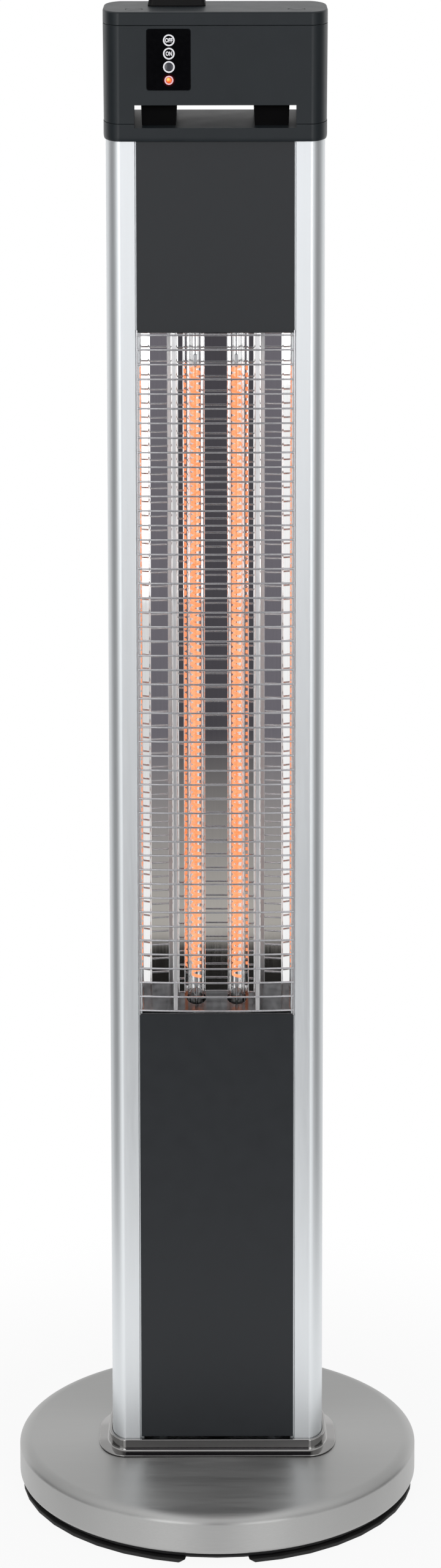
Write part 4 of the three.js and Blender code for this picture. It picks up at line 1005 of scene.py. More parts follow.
class HEATER_OT_stage(bpy.types.Operator):
    """Make the floor, the studio light and the camera"""

    bl_idname = "heater.stage"
    bl_label = "Studio"

    def execute(self, context):
        self.make_floor()
        self.make_world(context)
        self.make_lamps()
        self.make_camera(context)
        context.scene.view_settings.view_transform = "Standard"
        return {"FINISHED"}

    def make_floor(self):
        """A disc that is white to the camera, and in metal and glass, but for the heater's shadow."""
        angles = [math.tau * step / FLOOR_SIDES for step in range(FLOOR_SIDES)]
        rim = [(FLOOR_RADIUS * math.cos(angle), FLOOR_RADIUS * math.sin(angle), 0) for angle in angles]
        floor = new_piece("studio_floor", rim, [tuple(range(FLOOR_SIDES))])
        material, tree, place = blank("studio floor")
        rays = node(tree, "ShaderNodeLightPath").outputs
        shown = maths(tree, "ADD", rays["Is Camera Ray"], rays["Is Glossy Ray"])
        shown = maths(tree, "ADD", shown, rays["Is Transmission Ray"], clamp=True)
        away = node(tree, "ShaderNodeVectorMath", {0: place}, operation="LENGTH").outputs["Value"]
        whiter = ranged(tree, away, soft=True, **FLOOR_WHITER)
        paper = node(tree, "ShaderNodeBsdfDiffuse", {"Color": tuple(colours().floor) + (1,)})
        white = node(tree, "ShaderNodeEmission", {"Color": (1, 1, 1, 1), "Strength": 1.0})
        inputs = {0: maths(tree, "MULTIPLY", shown, whiter), 1: paper.outputs[0], 2: white.outputs[0]}
        both = node(tree, "ShaderNodeMixShader", inputs)
        node(tree, "ShaderNodeOutputMaterial", {"Surface": both.outputs[0]})
        floor.data.materials.append(material)

    def room(self, tree, share, stops):
        """Colour of one band of the room by the share of a turn."""
        ramp = node(tree, "ShaderNodeValToRGB", {0: share})
        elements = ramp.color_ramp.elements
        while len(elements) < len(stops):
            elements.new(0.5)
        for element, (degrees, level, tint) in zip(elements, stops):
            element.position = 0.5 + degrees / 360
            element.color = tuple(level * part for part in tint) + (1,)
        return ramp.outputs[0]

    def make_world(self, context):
        """A white backdrop, two soft boxes in front, and the dim room between them."""
        world = bpy.data.worlds.new("studio")
        context.scene.world = world
        world.use_nodes = True
        tree = world.node_tree
        tree.nodes.clear()
        direction = node(tree, "ShaderNodeTexCoord").outputs["Generated"]
        parts = node(tree, "ShaderNodeSeparateXYZ", {0: direction}).outputs
        height = parts["Z"]
        around = maths(tree, "ARCTAN2", parts["X"], maths(tree, "MULTIPLY", parts["Y"], -1.0))
        share = maths(tree, "ADD", maths(tree, "DIVIDE", around, math.tau), 0.5)
        room = self.room(tree, share, ROOM_GROUND)
        for bottom, top, stops in ROOM_BANDS:
            rise = ranged(tree, height, bottom, top)
            room = mixed(tree, rise, room, self.room(tree, share, stops))
        rays = node(tree, "ShaderNodeLightPath").outputs
        loss = maths(tree, "MULTIPLY", rays["Is Diffuse Ray"], DIFFUSE_LOSS)
        inputs = {0: room, "Scale": maths(tree, "SUBTRACT", 1.0, loss)}
        room = node(tree, "ShaderNodeVectorMath", inputs, operation="SCALE").outputs[0]
        behind = maths(tree, "GREATER_THAN", maths(tree, "ABSOLUTE", around), BACKDROP_TURN)
        low_enough = maths(tree, "LESS_THAN", maths(tree, "ABSOLUTE", height), BACKDROP_HEIGHT)
        backdrop = maths(tree, "MULTIPLY", behind, low_enough)
        mirrored = maths(tree, "ADD", rays["Is Glossy Ray"], rays["Is Transmission Ray"])
        mirrored = maths(tree, "MULTIPLY", mirrored, backdrop)
        seen = maths(tree, "ADD", rays["Is Camera Ray"], mirrored, clamp=True)
        shown = mixed(tree, seen, room, (1, 1, 1, 1))
        sky = node(tree, "ShaderNodeBackground", {"Color": shown, "Strength": 1.0})
        node(tree, "ShaderNodeOutputWorld", {"Surface": sky.outputs[0]})

    def make_lamps(self):
        for name, place, size, power in LAMPS:
            lamp = bpy.data.lights.new(name, "AREA")
            lamp.size = size
            lamp.energy = power
            holder = linked(name, lamp)
            holder.location = place
            holder.rotation_euler = (LAMP_AIM - Vector(place)).to_track_quat("-Z", "Y").to_euler()

    def make_camera(self, context):
        eye = bpy.data.cameras.new("camera")
        eye.sensor_width = CAMERA_SENSOR
        eye.sensor_fit = "AUTO"
        eye.lens = CAMERA_LENS
        eye.shift_x, eye.shift_y = CAMERA_SHIFT
        holder = linked("camera", eye)
        view = Matrix.Rotation(CAMERA_TILT, 4, "X") @ Matrix.Rotation(CAMERA_ROLL, 4, "Z")
        holder.matrix_world = Matrix.Translation(CAMERA_PLACE) @ view
        context.scene.camera = holder


# The pieces


class HEATER_OT_base(bpy.types.Operator):
    """Make the pressed steel cover of the base, its tray and its pads"""

    bl_idname = "heater.base"
    bl_label = "Base"

    def execute(self, context):
        sizes = base_sizes()
        outer, top, bottom, sheet = sizes.radius, sizes.top, sizes.skirt_bottom, sizes.sheet
        reach, drop, curl = sizes.roll_reach, sizes.roll_drop, sizes.curl
        roll_centre = (outer - reach, top - drop)
        curl_centre = (outer - curl, bottom + curl)
        sides = 192

        def arc(centre, width, height, start, stop, steps):
            x, z = centre
            angles = [math.radians(start + (stop - start) * step / steps) for step in range(steps + 1)]
            return [(x + width * math.cos(angle), z + height * math.sin(angle)) for angle in angles]

        profile = [(sizes.hole_radius, top - sheet)]
        profile += arc(roll_centre, reach - sheet, drop - sheet, start=90, stop=0, steps=10)
        profile += arc(curl_centre, curl - sheet, curl - sheet, start=0, stop=-90, steps=5)
        profile += arc(curl_centre, curl, curl, start=-90, stop=0, steps=8)
        profile += arc(roll_centre, reach, drop, start=0, stop=90, steps=18)
        profile += [(sizes.hole_radius, top)]
        cover = lathe("base_cover_pressed", profile, sides)
        settle(softened(cover, 0, angle=50), brushed_steel(), nodes=("base_cover",))
        settle_copy("base_tray", "moulded", 0.4 * MM, "black plastic")
        for number in range(1, 5):
            settle_copy(f"foot_pad_{number}", "moulded", 0.5 * MM, "black rubber")
        return {"FINISHED"}


class HEATER_OT_foot_collar(bpy.types.Operator):
    """Make the chrome collar round the column's foot"""

    bl_idname = "heater.foot_collar"
    bl_label = "Foot collar"

    def execute(self, context):
        sizes = base_sizes()
        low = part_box("foot_collar")[0].z
        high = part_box("foot_collar")[1].z
        reach, upstand = sizes.collar_reach, sizes.collar_upstand
        lip = 0.9 * MM
        cove_reach, cove_rise, cove_foot = 1.4 * MM, 1.8 * MM, 1.7 * MM
        cove_steps, lip_steps = 6, 4
        # Inset and height of the points round the flange's edge
        flange_edge = ((0.25, 0), (0, 0.25), (0, 0.6), (0.12, 0.8), (0.4, 0.93))
        section = [(sizes.collar_fit, low)]
        section += [(reach - inset * MM, low + height * MM) for inset, height in flange_edge]
        section.append((upstand + cove_reach, low + 1.65 * MM))
        for angle in quarter_turn(cove_steps)[1:-1]:
            across = cove_reach * (1 - math.sin(angle))
            section.append((upstand + across, low + cove_foot + cove_rise * (1 - math.cos(angle))))
        section.append((upstand, low + cove_foot + cove_rise))
        for angle in quarter_turn(lip_steps):
            section.append((upstand - lip * (1 - math.cos(angle)), high - lip * (1 - math.sin(angle))))
        section.append((sizes.collar_fit, high))
        rings = [ring(grow, flat(height)) for grow, height in section]
        collar = softened(loft("foot_collar_pressed", rings, joined=True), 0, angle=50)
        settle(collar, finish("polished chrome"), nodes=("foot_collar",))
        return {"FINISHED"}


class HEATER_OT_column(bpy.types.Operator):
    """Make the two aluminium profiles with the lips that carry the panels"""

    bl_idname = "heater.column"
    bl_label = "Column profiles"

    def execute(self, context):
        sizes = column_sizes()
        web, front, back = sizes.web, sizes.front, sizes.back
        lip_front = front + sizes.lip_front
        lip_back = lip_front + sizes.lip_thickness
        turned_y = front + back
        corner = [(x, y) for x, y in outline() if x > 0]
        section = [(web, front)] + corner + [
            (web, back),
            (web, turned_y - lip_front),
            (web - sizes.back_lip_reach, turned_y - lip_front),
            (web - sizes.back_lip_reach, turned_y - lip_back),
            (web, turned_y - lip_back),
            (web, lip_back),
            (web - sizes.lip_reach, lip_back),
            (web - sizes.lip_reach, lip_front),
            (web, lip_front),
        ]
        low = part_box("right_profile")[0].z
        head = head_sizes()
        below_seam = 5.8 * MM
        top = sloped(head.seam, head.seam_rake, -below_seam)
        for side, label in ((1, "right"), (-1, "left")):
            plan = section if side > 0 else [(-x, y) for x, y in reversed(section)]
            profile = softened(extruded(f"{label}_profile_drawn", plan, flat(low), top), 0.35 * MM)
            settle(profile, finish("satin aluminium"), nodes=(f"{label}_profile",))
        return {"FINISHED"}


class HEATER_OT_panels(bpy.types.Operator):
    """Make the front panels, and the back cover with its vents"""

    bl_idname = "heater.panels"
    bl_label = "Panels and back cover"

    def execute(self, context):
        for label in ("lower_front_panel", "upper_front_panel"):
            settle_copy(label, "folded", 0.45 * MM, "charcoal paint", segments=3)
        settle_copy("back_cover", "folded", 0.3 * MM, "charcoal paint")
        settle_copy("cable_gland", "moulded", 0.4 * MM, "black plastic")
        self.make_back_screws()
        return {"FINISHED"}

    def make_back_screws(self):
        lowest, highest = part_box("back_screw_3")[0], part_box("back_screw_2")[1]
        radius, height = 3 * MM, 1.8 * MM
        socket_mouth, socket_floor, socket_depth = 1.25 * MM, 1.1 * MM, 0.9 * MM
        profile = [
            (0, -height),
            (radius, -height),
            (radius, -height * 0.35),
            (radius * 0.85, -height * 0.08),
            (radius * 0.6, 0),
            (socket_mouth, 0),
            (socket_floor, -socket_depth),
            (0, -socket_depth),
        ]
        screw = lathe("back_screws_set", profile, SIDES_COARSE, joined=False)
        values = {
            "Across": highest.x - lowest.x - 2 * radius,
            "Along": highest.z - lowest.z - 2 * radius,
            "Tilt": -math.pi / 2,
            "Place": (0, highest.y, (highest.z + lowest.z) / 2),
            "Material": finish("zinc plated steel"),
        }
        grown_by("pieces on a grid", screw, values)
        nodes = [f"back_screw_{number}" for number in range(1, 5)]
        settle(softened(screw, 0, angle=40), finish("zinc plated steel"), nodes=nodes)


class HEATER_OT_reflector(bpy.types.Operator):
    """Make the polished reflector and the sloping plate at its foot"""

    bl_idname = "heater.reflector"
    bl_label = "Reflector"

    def execute(self, context):
        front = column_sizes().front
        sheet, bend_reach = 0.8 * MM, 0.9 * MM
        # Half of the sheet's line, as distances in millimetres from the middle and behind the front
        trough_x, trough_depth, steps = 15.5, 31.0, 10
        half = []
        for step in range(-steps, steps + 1):
            share = step / steps
            reach, rise = (6.5, 4.6) if step < 0 else (9.0, 6.0)
            half.append((trough_x + reach * share, trough_depth - rise * share**2))
        half += [(29.5, 25.0), (33.5, 36.3), (51.0, 35.1), (56.0, 8.3), (57.8, 5.9), (58.9, 5.5)]
        right = [Vector((x * MM, front + y * MM)) for x, y in half]
        left = [Vector((-point.x, point.y)) for point in reversed(right)]
        folded = self.folded(left + right, bend_reach)
        back = []
        for step, point in enumerate(folded):
            before = folded[max(step - 1, 0)]
            after = folded[min(step + 1, len(folded) - 1)]
            along = (after - before).normalized()
            back.append(point + Vector((-along.y, along.x)) * sheet)
        low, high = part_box("reflector")
        section = [tuple(point) for point in folded + back[::-1]]
        piece = softened(extruded("reflector_folded", section, flat(low.z), flat(high.z)), 0, angle=50)
        settle(piece, finish("polished reflector sheet"), nodes=("reflector",))
        # The foot plate's dark colour is a painted reflection
        settle_copy("reflector_foot", "folded", 0.15 * MM, "heat dulled sheet")
        return {"FINISHED"}

    def folded(self, points, reach):
        """The bent line with each bend rounded."""
        line = [points[0]]
        for before, point, after in zip(points, points[1:], points[2:]):
            near = min(reach, (before - point).length * 0.4, (after - point).length * 0.4)
            start = point + (before - point).normalized() * near
            end = point + (after - point).normalized() * near
            line += bend(start, point, end)
        return line + [points[-1]]


class HEATER_OT_tubes(bpy.types.Operator):
    """Make the quartz tubes and the glowing spirals in them"""

    bl_idname = "heater.tubes"
    bl_label = "Tubes and spirals"

    def execute(self, context):
        sizes = window_sizes()
        spiral_tree()
        for side, label in ((-1, "left"), (1, "right")):
            low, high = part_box(f"tube_{label}")
            place = Matrix.Translation((side * sizes.tube_x, sizes.tube_y, 0))
            outer, inner = sizes.tube_radius, sizes.tube_radius - sizes.tube_wall
            profile = [(inner, low.z), (outer, low.z), (outer, high.z), (inner, high.z)]
            tube = lathe(f"tube_{label}_drawn", profile, SIDES_FINE, matrix=place)
            settle(softened(tube, 0, angle=50), quartz_glass(), nodes=(f"tube_{label}",))
            self.make_spiral(label, side)
            self.make_leads(label, side)
        return {"FINISHED"}

    def make_spiral(self, label, side):
        sizes = window_sizes()
        thickness, strip_inset = 0.35 * MM, 0.2 * MM
        start = sizes.bottom + sizes.spiral_inset
        climb = sizes.top - sizes.spiral_inset - start
        spiral = new_piece(f"spiral_{label}_wound", [], [])
        values = {
            "Curls": climb / sizes.spiral_pitch,
            "Radius": sizes.spiral_radius - strip_inset,
            "Climb": climb,
            "Strip Width": sizes.strip_width,
            "Strip Thickness": thickness,
            "Place": (side * sizes.tube_x, sizes.tube_y, start),
            "Material": glowing_carbon(),
        }
        grown_by("wound strip", spiral, values)
        settle(spiral, glowing_carbon(), nodes=(f"coil_{label}",))

    def make_leads(self, label, side):
        """Straight leads with crimped holders between the spiral and the caps."""
        sizes = window_sizes()
        low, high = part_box(f"tube_{label}")
        start = sizes.bottom + sizes.spiral_inset
        end = sizes.top - sizes.spiral_inset
        lead_radius, lead_sides = 0.6 * MM, 12
        crimp_outside, crimp_inside = 9 * MM, 1.5 * MM
        # Radius and distance from the end of the points at each end of a crimp
        crimp_end = ((0.5, 0), (0.9, 0.4), (1.3, 1.0))
        for name, foot, head in (("lower", low.z, start), ("upper", end, high.z)):
            inward = 1 if name == "lower" else -1
            joint = head if name == "lower" else foot
            profile = [(0, foot), (lead_radius, foot), (lead_radius, head), (0, head)]
            lead = lathe(f"lead_{label}_{name}", profile, lead_sides, joined=False)
            lowest, highest = sorted((joint - inward * crimp_outside, joint + inward * crimp_inside))
            profile = [(radius * MM, lowest + away * MM) for radius, away in crimp_end]
            profile += [(radius * MM, highest - away * MM) for radius, away in reversed(crimp_end)]
            crimp = lathe(f"crimp_{label}_{name}", profile, SIDES_COARSE)
            place = Matrix.Translation((side * sizes.tube_x, sizes.tube_y, 0))
            for piece in (lead, crimp):
                placed(piece, place)
                settle(softened(piece, 0, angle=50), finish("zinc plated steel"))


class HEATER_OT_guard(bpy.types.Operator):
    """Make the wire guard and its two upright bars"""

    bl_idname = "heater.guard"
    bl_label = "Wire guard"

    def execute(self, context):
        sizes = window_sizes()
        guard_tree()
        first = sizes.bottom + sizes.wire_foot
        last = sizes.top - sizes.wire_head
        tip, behind_front = 3.6 * MM, 0.05 * MM
        guard = new_piece("wire_guard_welded", [], [])
        values = {
            "Wires": sizes.wires,
            "Pitch": (last - first) / (sizes.wires - 1),
            "First Height": first,
            "Edge": sizes.wire_edge,
            "Depth": column_sizes().front + behind_front,
            "Bow": sizes.wire_bow,
            "Wire Radius": sizes.wire_radius,
            "Tip": tip,
            "Material": finish("guard steel"),
        }
        grown_by("bowed guard wires", guard, values)
        settle(guard, finish("guard steel"), nodes=("wire_guard",))
        for label in ("left", "right"):
            bar = cad_copy(f"guard_bar_{label}", f"guard_bar_{label}_drawn")
            for vertex in bar.data.vertices:
                vertex.co.z = max(vertex.co.z, first - sizes.wire_radius)
            softened(bar, 0.35 * MM, segments=3)
            settle(bar, finish("guard bar steel"), nodes=(f"guard_bar_{label}",))
        return {"FINISHED"}


class HEATER_OT_head_collar(bpy.types.Operator):
    """Make the collar of the head, with the slot's sloping floor and the ducts on it"""

    bl_idname = "heater.head_collar"
    bl_label = "Head collar"

    def execute(self, context):
        sizes = head_sizes()
        grow = sizes.grow - 0.3 * MM
        roll_reach, roll_rise, steps = 0.8 * MM, 3.8 * MM, 6
        tongue_inset, tongue_rise = 1.2 * MM, 0.27 * MM
        column_gap, web_below_seam = 0.3 * MM, 5.5 * MM
        rings = []
        for angle in quarter_turn(steps):
            level = sloped(sizes.skirt, sizes.skirt_rake, roll_rise * (1 - math.cos(angle)))
            rings.append(ring(grow - roll_reach * (1 - math.sin(angle)), level))
        rings.append(ring(grow, sloped(sizes.seam, sizes.seam_rake)))
        for rise in (0, tongue_rise):
            rings.append(ring(grow - tongue_inset, sloped(sizes.seam, sizes.seam_rake, rise)))
        collar = loft("head_collar_moulded", rings)
        hollow = loft(
            "hollow cutter",
            [
                ring(column_gap, sloped(sizes.skirt, sizes.skirt_rake, -OVERCUT)),
                ring(column_gap, sloped(sizes.seam, sizes.seam_rake, -web_below_seam)),
            ],
        )
        cut(collar, slot_cutter(sloped(sizes.tray, sizes.tray_rake), flat(ABOVE_HEAD)), hollow)
        softened(collar, 0.35 * MM)
        settle(collar, finish("charcoal plastic"), nodes=("head_collar",))
        for label in ("left", "right"):
            duct = f"cable_duct_{label}"
            # The ducts' near black is black plastic with painted shade of the slot
            settle_copy(duct, "moulded", 0.5 * MM, "dull black plastic")
        return {"FINISHED"}


class HEATER_OT_head_housing(bpy.types.Operator):
    """Make the head's housing with the slot and the recess for the fascia"""

    bl_idname = "heater.head_housing"
    bl_label = "Head housing"

    def execute(self, context):
        sizes, controls = head_sizes(), control_sizes()
        gap, foot_draft = 0.3 * MM, 0.5 * MM
        housing = loft(
            "head_housing_moulded",
            [
                ring(sizes.grow - foot_draft, sloped(sizes.seam, sizes.seam_rake, gap)),
                ring(sizes.grow, sloped(sizes.lid_seam, sizes.lid_seam_rake, -gap)),
            ],
        )
        roof = sloped(sizes.roof, sizes.seam_rake)
        inner = sizes.grow - sizes.wall
        hollow = loft(
            "hollow cutter",
            [ring(inner, sloped(sizes.roof, sizes.seam_rake, sizes.wall)), ring(inner, flat(ABOVE_HEAD))],
        )
        front = head_front()
        middle_z = controls.fascia_top - controls.fascia_height / 2
        plan = rounded_outline(
            controls.fascia_width / 2 + gap, controls.fascia_height / 2 + gap, controls.fascia_corner
        )
        recess_depth = 1.5 * MM
        recess = loft("recess cutter", [[(x, y, z) for x, y in plan] for z in (-recess_depth, OVERCUT)])
        placed(recess, facing_front(controls.fascia_x, front, middle_z))
        high_z = controls.fascia_top - controls.first_key
        low_z = high_z - 3 * controls.key_pitch
        window_half, window_margin, past_wall = 6 * MM, 4.7 * MM, 0.4 * MM
        window = block(
            "key window cutter",
            (controls.key_x - window_half, front - OVERCUT, low_z - window_margin),
            (controls.key_x + window_half, front + sizes.wall + past_wall, high_z + window_margin),
        )
        cut(housing, slot_cutter(flat(BELOW_HEAD), roof), hollow, recess, window)
        softened(housing, 0.35 * MM)
        settle(housing, finish("charcoal plastic"), nodes=("head_housing",))
        return {"FINISHED"}


class HEATER_OT_lid(bpy.types.Operator):
    """Make the sloping lid and the two round screws in it"""

    bl_idname = "heater.lid"
    bl_label = "Lid and screws"

    def execute(self, context):
        sizes = head_sizes()
        edge, steps = sizes.edge, 5
        rings = [ring(sizes.grow, sloped(sizes.lid_seam, sizes.lid_seam_rake))]
        for angle in quarter_turn(steps):
            level = sloped(sizes.lid_top, sizes.lid_rake, -edge * (1 - math.sin(angle)))
            rings.append(ring(sizes.grow - edge * (1 - math.cos(angle)), level))
        lid = loft("head_lid_moulded", rings)
        inner = sizes.grow - sizes.wall
        hollow = loft(
            "hollow cutter",
            [
                ring(inner, sloped(sizes.lid_seam, sizes.lid_seam_rake, -OVERCUT)),
                ring(inner, sloped(sizes.lid_top, sizes.lid_rake, -sizes.wall - edge)),
            ],
        )
        line = sizes.screw_inset / math.cos(sizes.lid_rake)
        seat_radius, seat_floor = sizes.screw_radius + 0.3 * MM, -2.2 * MM
        profile = [(0, seat_floor), (seat_radius, seat_floor), (seat_radius, OVERCUT), (0, OVERCUT)]
        seats = []
        for x in (-sizes.screw_x, sizes.screw_x):
            place = lid_matrix() @ Matrix.Translation((x, line, 0))
            seats.append(lathe("seat cutter", profile, SIDES_FINE, False, place))
        cut(lid, hollow, *seats)
        settle(softened(lid, 0.3 * MM), finish("charcoal plastic"), nodes=("head_lid",))
        self.make_screws(line)
        return {"FINISHED"}

    def make_screws(self, line):
        sizes = head_sizes()
        radius = sizes.screw_radius
        thickness, crown = 1.9 * MM, 0.04 * MM
        # Inset and depth of the points round the rim
        rim = ((0, 0.55), (0.12, 0.2), (0.5, 0))
        profile = [(0, -thickness), (radius, -thickness)]
        profile += [(radius - inset * MM, -depth * MM) for inset, depth in rim]
        profile.append((0, crown))
        screw = lathe("lid_screws_set", profile, SIDES_FINE, joined=False)
        middle = lid_matrix() @ Vector((0, line, 0))
        values = {
            "Across": 2 * sizes.screw_x,
            "Count Along": 1,
            "Tilt": sizes.lid_rake,
            "Place": tuple(middle),
            "Material": finish("charcoal plastic"),
        }
        grown_by("pieces on a grid", screw, values)
        nodes = ["lid_screw_1", "lid_screw_2"]
        settle(softened(screw, 0, angle=40), finish("charcoal plastic"), nodes=nodes)


# The gap round a key or the lamp, the sides of the lamp and the holes, and the flange behind the fascia
RUN_GAP = 0.2 * MM
SIDES_LAMP = 40
FLANGE_RADIUS = 4.3 * MM
FLANGE_BACK = -2.7 * MM
FLANGE_FRONT = -1.75 * MM


def flange(radius):
    """Points round the flange that keeps a key or a lens behind the fascia."""
    return [(FLANGE_RADIUS, FLANGE_BACK), (FLANGE_RADIUS, FLANGE_FRONT), (radius, FLANGE_FRONT)]


class HEATER_OT_controls(bpy.types.Operator):
    """Make the fascia with its rings, the two keys, the receiver window and the lamp"""

    bl_idname = "heater.controls"
    bl_label = "Control fascia"

    def execute(self, context):
        sizes = control_sizes()
        proud, thickness = 0.2 * MM, 1.4 * MM
        front = head_front() - proud
        middle_z = sizes.fascia_top - sizes.fascia_height / 2
        plan = rounded_outline(sizes.fascia_width / 2, sizes.fascia_height / 2, sizes.fascia_corner)
        fascia = loft("control_fascia_moulded", [[(x, y, z) for x, y in plan] for z in (-thickness, 0)])
        placed(fascia, facing_front(sizes.fascia_x, front, middle_z))
        heights = [sizes.fascia_top - sizes.first_key - place * sizes.key_pitch for place in range(4)]
        radii = [sizes.key_radius] * 3 + [sizes.lamp_radius]
        holes = []
        for radius, height in zip(radii, heights):
            hole = radius + RUN_GAP
            profile = [(0, -OVERCUT), (hole, -OVERCUT), (hole, OVERCUT), (0, OVERCUT)]
            place = facing_front(sizes.key_x, front, height)
            holes.append(lathe("hole cutter", profile, SIDES_LAMP, False, place))
        cut(fascia, *holes)
        # The fascia's finish carries a painted red glow round the lamp
        gloss = self.fascia_gloss(Vector((sizes.key_x, front, heights[3])))
        settle(softened(fascia, 0.25 * MM), gloss, nodes=("control_fascia",))
        self.make_rings(front, heights)
        self.make_key("off", "OFF", front, heights[0])
        self.make_key("on", "ON", front, heights[1])
        self.make_lenses(front, heights)
        return {"FINISHED"}

    def fascia_gloss(self, lamp_point):
        """Gloss black with a painted red halo round the lamp: emission that stands in for the lamp's light in
        the fascia.
        """
        material = finish("gloss black").copy()
        material.name = "gloss black fascia"
        tree = material.node_tree
        place = found(tree, "TEX_COORD").outputs["Object"]
        shader = found(tree, "BSDF_PRINCIPLED")
        painted_halo_inner, painted_halo_outer, painted_halo_red = 2.6 * MM, 5.6 * MM, (0.085, 0.002, 0.003, 1)
        painted_halo = near_point(tree, place, lamp_point, painted_halo_inner, painted_halo_outer)
        # Painted glow: red emission that fades out from the lamp
        glow = mixed(tree, maths(tree, "MULTIPLY", painted_halo, painted_halo), (0, 0, 0, 1), painted_halo_red)
        tree.links.new(glow, shader.inputs["Emission Color"])
        shader.inputs["Emission Strength"].default_value = 1.0
        return material

    def make_rings(self, front, heights):
        sizes = control_sizes()
        print_height, sides = 0.05 * MM, 64
        rows = [(sizes.key_radius + 0.25 * MM, sizes.ring_radius)] * 3
        rows.append((sizes.lamp_radius + RUN_GAP, sizes.lamp_ring))
        for number, ((inner, outer), height) in enumerate(zip(rows, heights), 1):
            profile = [(inner, 0), (outer, 0), (outer, print_height), (inner, print_height)]
            place = facing_front(sizes.key_x, front, height)
            piece = lathe(f"printed_ring_{number}", profile, sides, matrix=place)
            # Both prints carry a painted glow from emission
            print_with_painted_glow = finish("lit printed ring") if number == 4 else printed_white_painted_glow()
            settle(softened(piece, 0, angle=40), print_with_painted_glow)

    def make_key(self, label, word, front, height):
        sizes = control_sizes()
        radius = sizes.key_radius
        proud, edge, chamfer = 0.25 * MM, 0.3 * MM, 0.09 * MM
        profile = [(0, FLANGE_BACK)] + flange(radius) + [
            (radius, proud - edge),
            (radius - chamfer, proud - chamfer),
            (radius - edge, proud),
            (0, proud),
        ]
        place = facing_front(sizes.key_x, front, height)
        key = softened(lathe(f"{label}_key_moulded", profile, SIDES_FINE, False, place), 0, angle=40)
        settle(key, finish("gloss black"), body=f"{label}_key", nodes=(f"{label}_button",))
        self.make_lettering(label, word, facing_front(sizes.key_x, front - proud, height))

    def make_lettering(self, label, word, place):
        """The printed word on a key, stretched to its width and height."""
        curve = bpy.data.curves.new(f"{label} lettering", "FONT")
        curve.body = word
        curve.size = 4 * MM
        curve.offset = 0.16 * MM
        curve.extrude = 0.02 * MM
        curve.align_x = "CENTER"
        carrier = linked("lettering", curve)
        bpy.context.view_layer.update()
        graph = bpy.context.evaluated_depsgraph_get()
        mesh = bpy.data.meshes.new_from_object(carrier.evaluated_get(graph))
        bpy.data.objects.remove(carrier)
        letters = linked(f"{label}_lettering", mesh)
        low = Vector([min(vertex.co[axis] for vertex in mesh.vertices) for axis in range(3)])
        high = Vector([max(vertex.co[axis] for vertex in mesh.vertices) for axis in range(3)])
        wide, tall = (5.5 if word == "OFF" else 4.6) * MM, 3.25 * MM
        scale = Matrix.Diagonal((wide / (high.x - low.x), tall / (high.y - low.y), 1, 1))
        centred = scale @ Matrix.Translation(-(low + high) / 2)
        mesh.transform(place @ centred)
        # The lettering carries the print's painted glow
        settle(letters, printed_white_painted_glow(), body=f"{label}_key")

    def make_lenses(self, front, heights):
        sizes = control_sizes()
        radius = sizes.key_radius
        profile = [(0, FLANGE_BACK)] + flange(radius) + [(radius, -0.15 * MM), (radius * 0.93, 0), (0, 0)]
        place = facing_front(sizes.key_x, front, heights[2])
        lens = lathe("receiver_lens_moulded", profile, SIDES_FINE, False, place)
        softened(lens, 0, angle=40)
        settle(lens, finish("smoked lens"), nodes=("receiver_lens",))
        radius = sizes.lamp_radius
        stem_back, dome_foot, dome_rise, steps = -9.7 * MM, -0.2 * MM, 0.35 * MM, 6
        profile = [(0, stem_back), (radius, stem_back), (radius, FLANGE_BACK)] + flange(radius)
        profile.append((radius, dome_foot))
        for angle in quarter_turn(steps)[1:-1]:
            profile.append((radius * math.cos(angle), dome_foot + dome_rise * math.sin(angle)))
        profile.append((0, dome_foot + dome_rise))
        place = facing_front(sizes.key_x, front, heights[3])
        lamp = lathe("lamp_lens_moulded", profile, SIDES_LAMP, False, place)
        material = lit_lamp(Vector((sizes.key_x, front, heights[3])))
        settle(softened(lamp, 0, angle=40), material, nodes=("lamp_lens",))


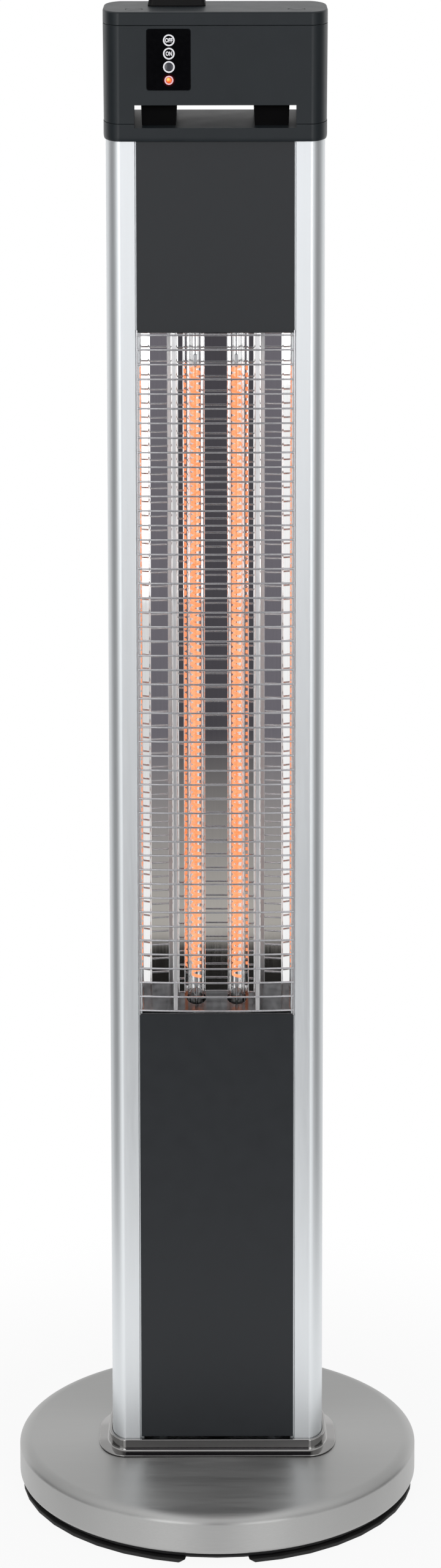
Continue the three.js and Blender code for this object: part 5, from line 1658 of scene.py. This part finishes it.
class HEATER_OT_switch(bpy.types.Operator):
    """Make the mains switch on the lid with its rocker"""

    bl_idname = "heater.switch"
    bl_label = "Mains switch"

    def execute(self, context):
        sizes = control_sizes()
        height = sizes.switch_height
        edge, corner, steps = 0.9 * MM, 4 * MM, 4
        top_half_u, top_half_v = 19.9 * MM, 13.2 * MM
        # Half length, half width and height of each ring of the flared foot, in millimetres
        foot_rings = ((21.8, 15.5, 0.3), (21.75, 15.45, 0.9), (20.9, 14.2, 4.6), (19.9, 13.2, 14.1))
        rings = [
            [(x, y, w * MM) for x, y in rounded_outline(half_u * MM, half_v * MM, corner)]
            for half_u, half_v, w in foot_rings
        ]
        for angle in quarter_turn(steps)[1:]:
            inset = edge * (1 - math.cos(angle))
            w = height - edge + edge * math.sin(angle)
            plan = rounded_outline(top_half_u - inset, top_half_v - inset, corner - inset)
            rings.append([(x, y, w) for x, y in plan])
        body = loft("switch_housing_moulded", rings)
        half_u, half_v = sizes.rocker_half + 1.4 * MM, sizes.rocker_half_width + 0.4 * MM
        well = block("well cutter", (-half_u, -half_v, -OVERCUT), (half_u, half_v, height + OVERCUT))
        half_u, half_v, roof = 16.6 * MM, 10.2 * MM, height - 4 * MM
        under = block("under cutter", (-half_u, -half_v, -OVERCUT), (half_u, half_v, roof))
        cut(body, well, under)
        place = lid_matrix() @ Matrix.Translation((sizes.switch_x, sizes.switch_v, 0))
        placed(body, place)
        softened(body, 0.35 * MM)
        settle(body, finish("black plastic"), nodes=("switch_housing",))
        self.make_rocker(place)
        return {"FINISHED"}

    def make_rocker(self, place):
        sizes = control_sizes()
        half, lobe, saddle = sizes.rocker_half, 4 * MM, 2.3 * MM
        foot_half, foot_drop, steps = 8 * MM, 3.2 * MM, 6
        side = [(-foot_half, -foot_drop), (foot_half, -foot_drop), (half, 0)]
        for step in range(2 * steps + 1):
            share = 1 - step / steps
            side.append((half * share, saddle + (lobe - saddle) * share * share))
        side.append((-half, 0))
        width = sizes.rocker_half_width
        rocker = loft("rocker_paddle", [[(x, z, w) for x, z in side] for w in (-width, width)])
        pivot_drop = 1.9 * MM
        pivot = sizes.switch_height - pivot_drop
        stand = Matrix.Rotation(math.pi / 2, 4, "X")
        swing = Matrix.Rotation(-sizes.rocker_swing, 4, "Y")
        placed(rocker, place @ Matrix.Translation((0, 0, pivot)) @ swing @ stand)
        softened(rocker, 0.5 * MM)
        settle(rocker, finish("gloss black"), body="rocker", nodes=("rocker_switch",))


class HEATER_OT_inner_parts(bpy.types.Operator):
    """Finish the plain pieces inside the heater"""

    bl_idname = "heater.inner_parts"
    bl_label = "Inner pieces"

    def execute(self, context):
        bolts = [f"base_bolt_{number}" for number in range(1, 5)]
        caps = [f"tube_cap_{side}_{end}" for side in ("left", "right") for end in ("top", "bottom")]
        finishes = {
            "painted cast iron": ["ballast_plate"],
            "zinc plated steel": [
                "column_bracket", "chamber_top_plate", "chamber_bottom_plate", "rocker_pin", *bolts,
            ],
            "black plastic": ["tilt_switch", "thermal_cutout"],
            "unglazed ceramic": ["terminal_block", *caps],
            "circuit board": ["control_board"],
        }
        for look, names in finishes.items():
            for name in names:
                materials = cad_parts[name].data.materials
                materials.clear()
                materials.append(finish(look))
        return {"FINISHED"}


class HEATER_PT_pieces(bpy.types.Panel):
    """Sidebar list of the heater's pieces"""

    bl_idname = "HEATER_PT_pieces"
    bl_label = "Patio heater"
    bl_space_type = "VIEW_3D"
    bl_region_type = "UI"
    bl_category = "Heater"

    def draw(self, context):
        for operator in OPERATORS:
            self.layout.operator(operator.bl_idname)


GROUPS = {
    "heater_base": HeaterBaseSizes,
    "heater_column": HeaterColumnSizes,
    "heater_window": HeaterWindowSizes,
    "heater_head": HeaterHeadSizes,
    "heater_controls": HeaterControlSizes,
    "heater_colours": HeaterColours,
}
OPERATORS = (
    HEATER_OT_stage,
    HEATER_OT_base,
    HEATER_OT_foot_collar,
    HEATER_OT_column,
    HEATER_OT_panels,
    HEATER_OT_reflector,
    HEATER_OT_tubes,
    HEATER_OT_guard,
    HEATER_OT_head_collar,
    HEATER_OT_head_housing,
    HEATER_OT_lid,
    HEATER_OT_controls,
    HEATER_OT_switch,
    HEATER_OT_inner_parts,
)


def register():
    for group in GROUPS.values():
        bpy.utils.register_class(group)
    for operator in OPERATORS:
        bpy.utils.register_class(operator)
    bpy.utils.register_class(HEATER_PT_pieces)
    for name, group in GROUPS.items():
        setattr(bpy.types.Scene, name, PointerProperty(type=group))


def unregister():
    for name in GROUPS:
        delattr(bpy.types.Scene, name)
    bpy.utils.unregister_class(HEATER_PT_pieces)
    for operator in reversed(OPERATORS):
        bpy.utils.unregister_class(operator)
    for group in reversed(GROUPS.values()):
        bpy.utils.unregister_class(group)


def main():
    register()
    repeat_tree()
    bpy.ops.heater.stage()
    bpy.ops.heater.base()
    bpy.ops.heater.foot_collar()
    bpy.ops.heater.column()
    bpy.ops.heater.panels()
    bpy.ops.heater.reflector()
    bpy.ops.heater.tubes()
    bpy.ops.heater.guard()
    bpy.ops.heater.head_collar()
    bpy.ops.heater.head_housing()
    bpy.ops.heater.lid()
    bpy.ops.heater.controls()
    bpy.ops.heater.switch()
    bpy.ops.heater.inner_parts()


if __name__ == "__main__":
    main()
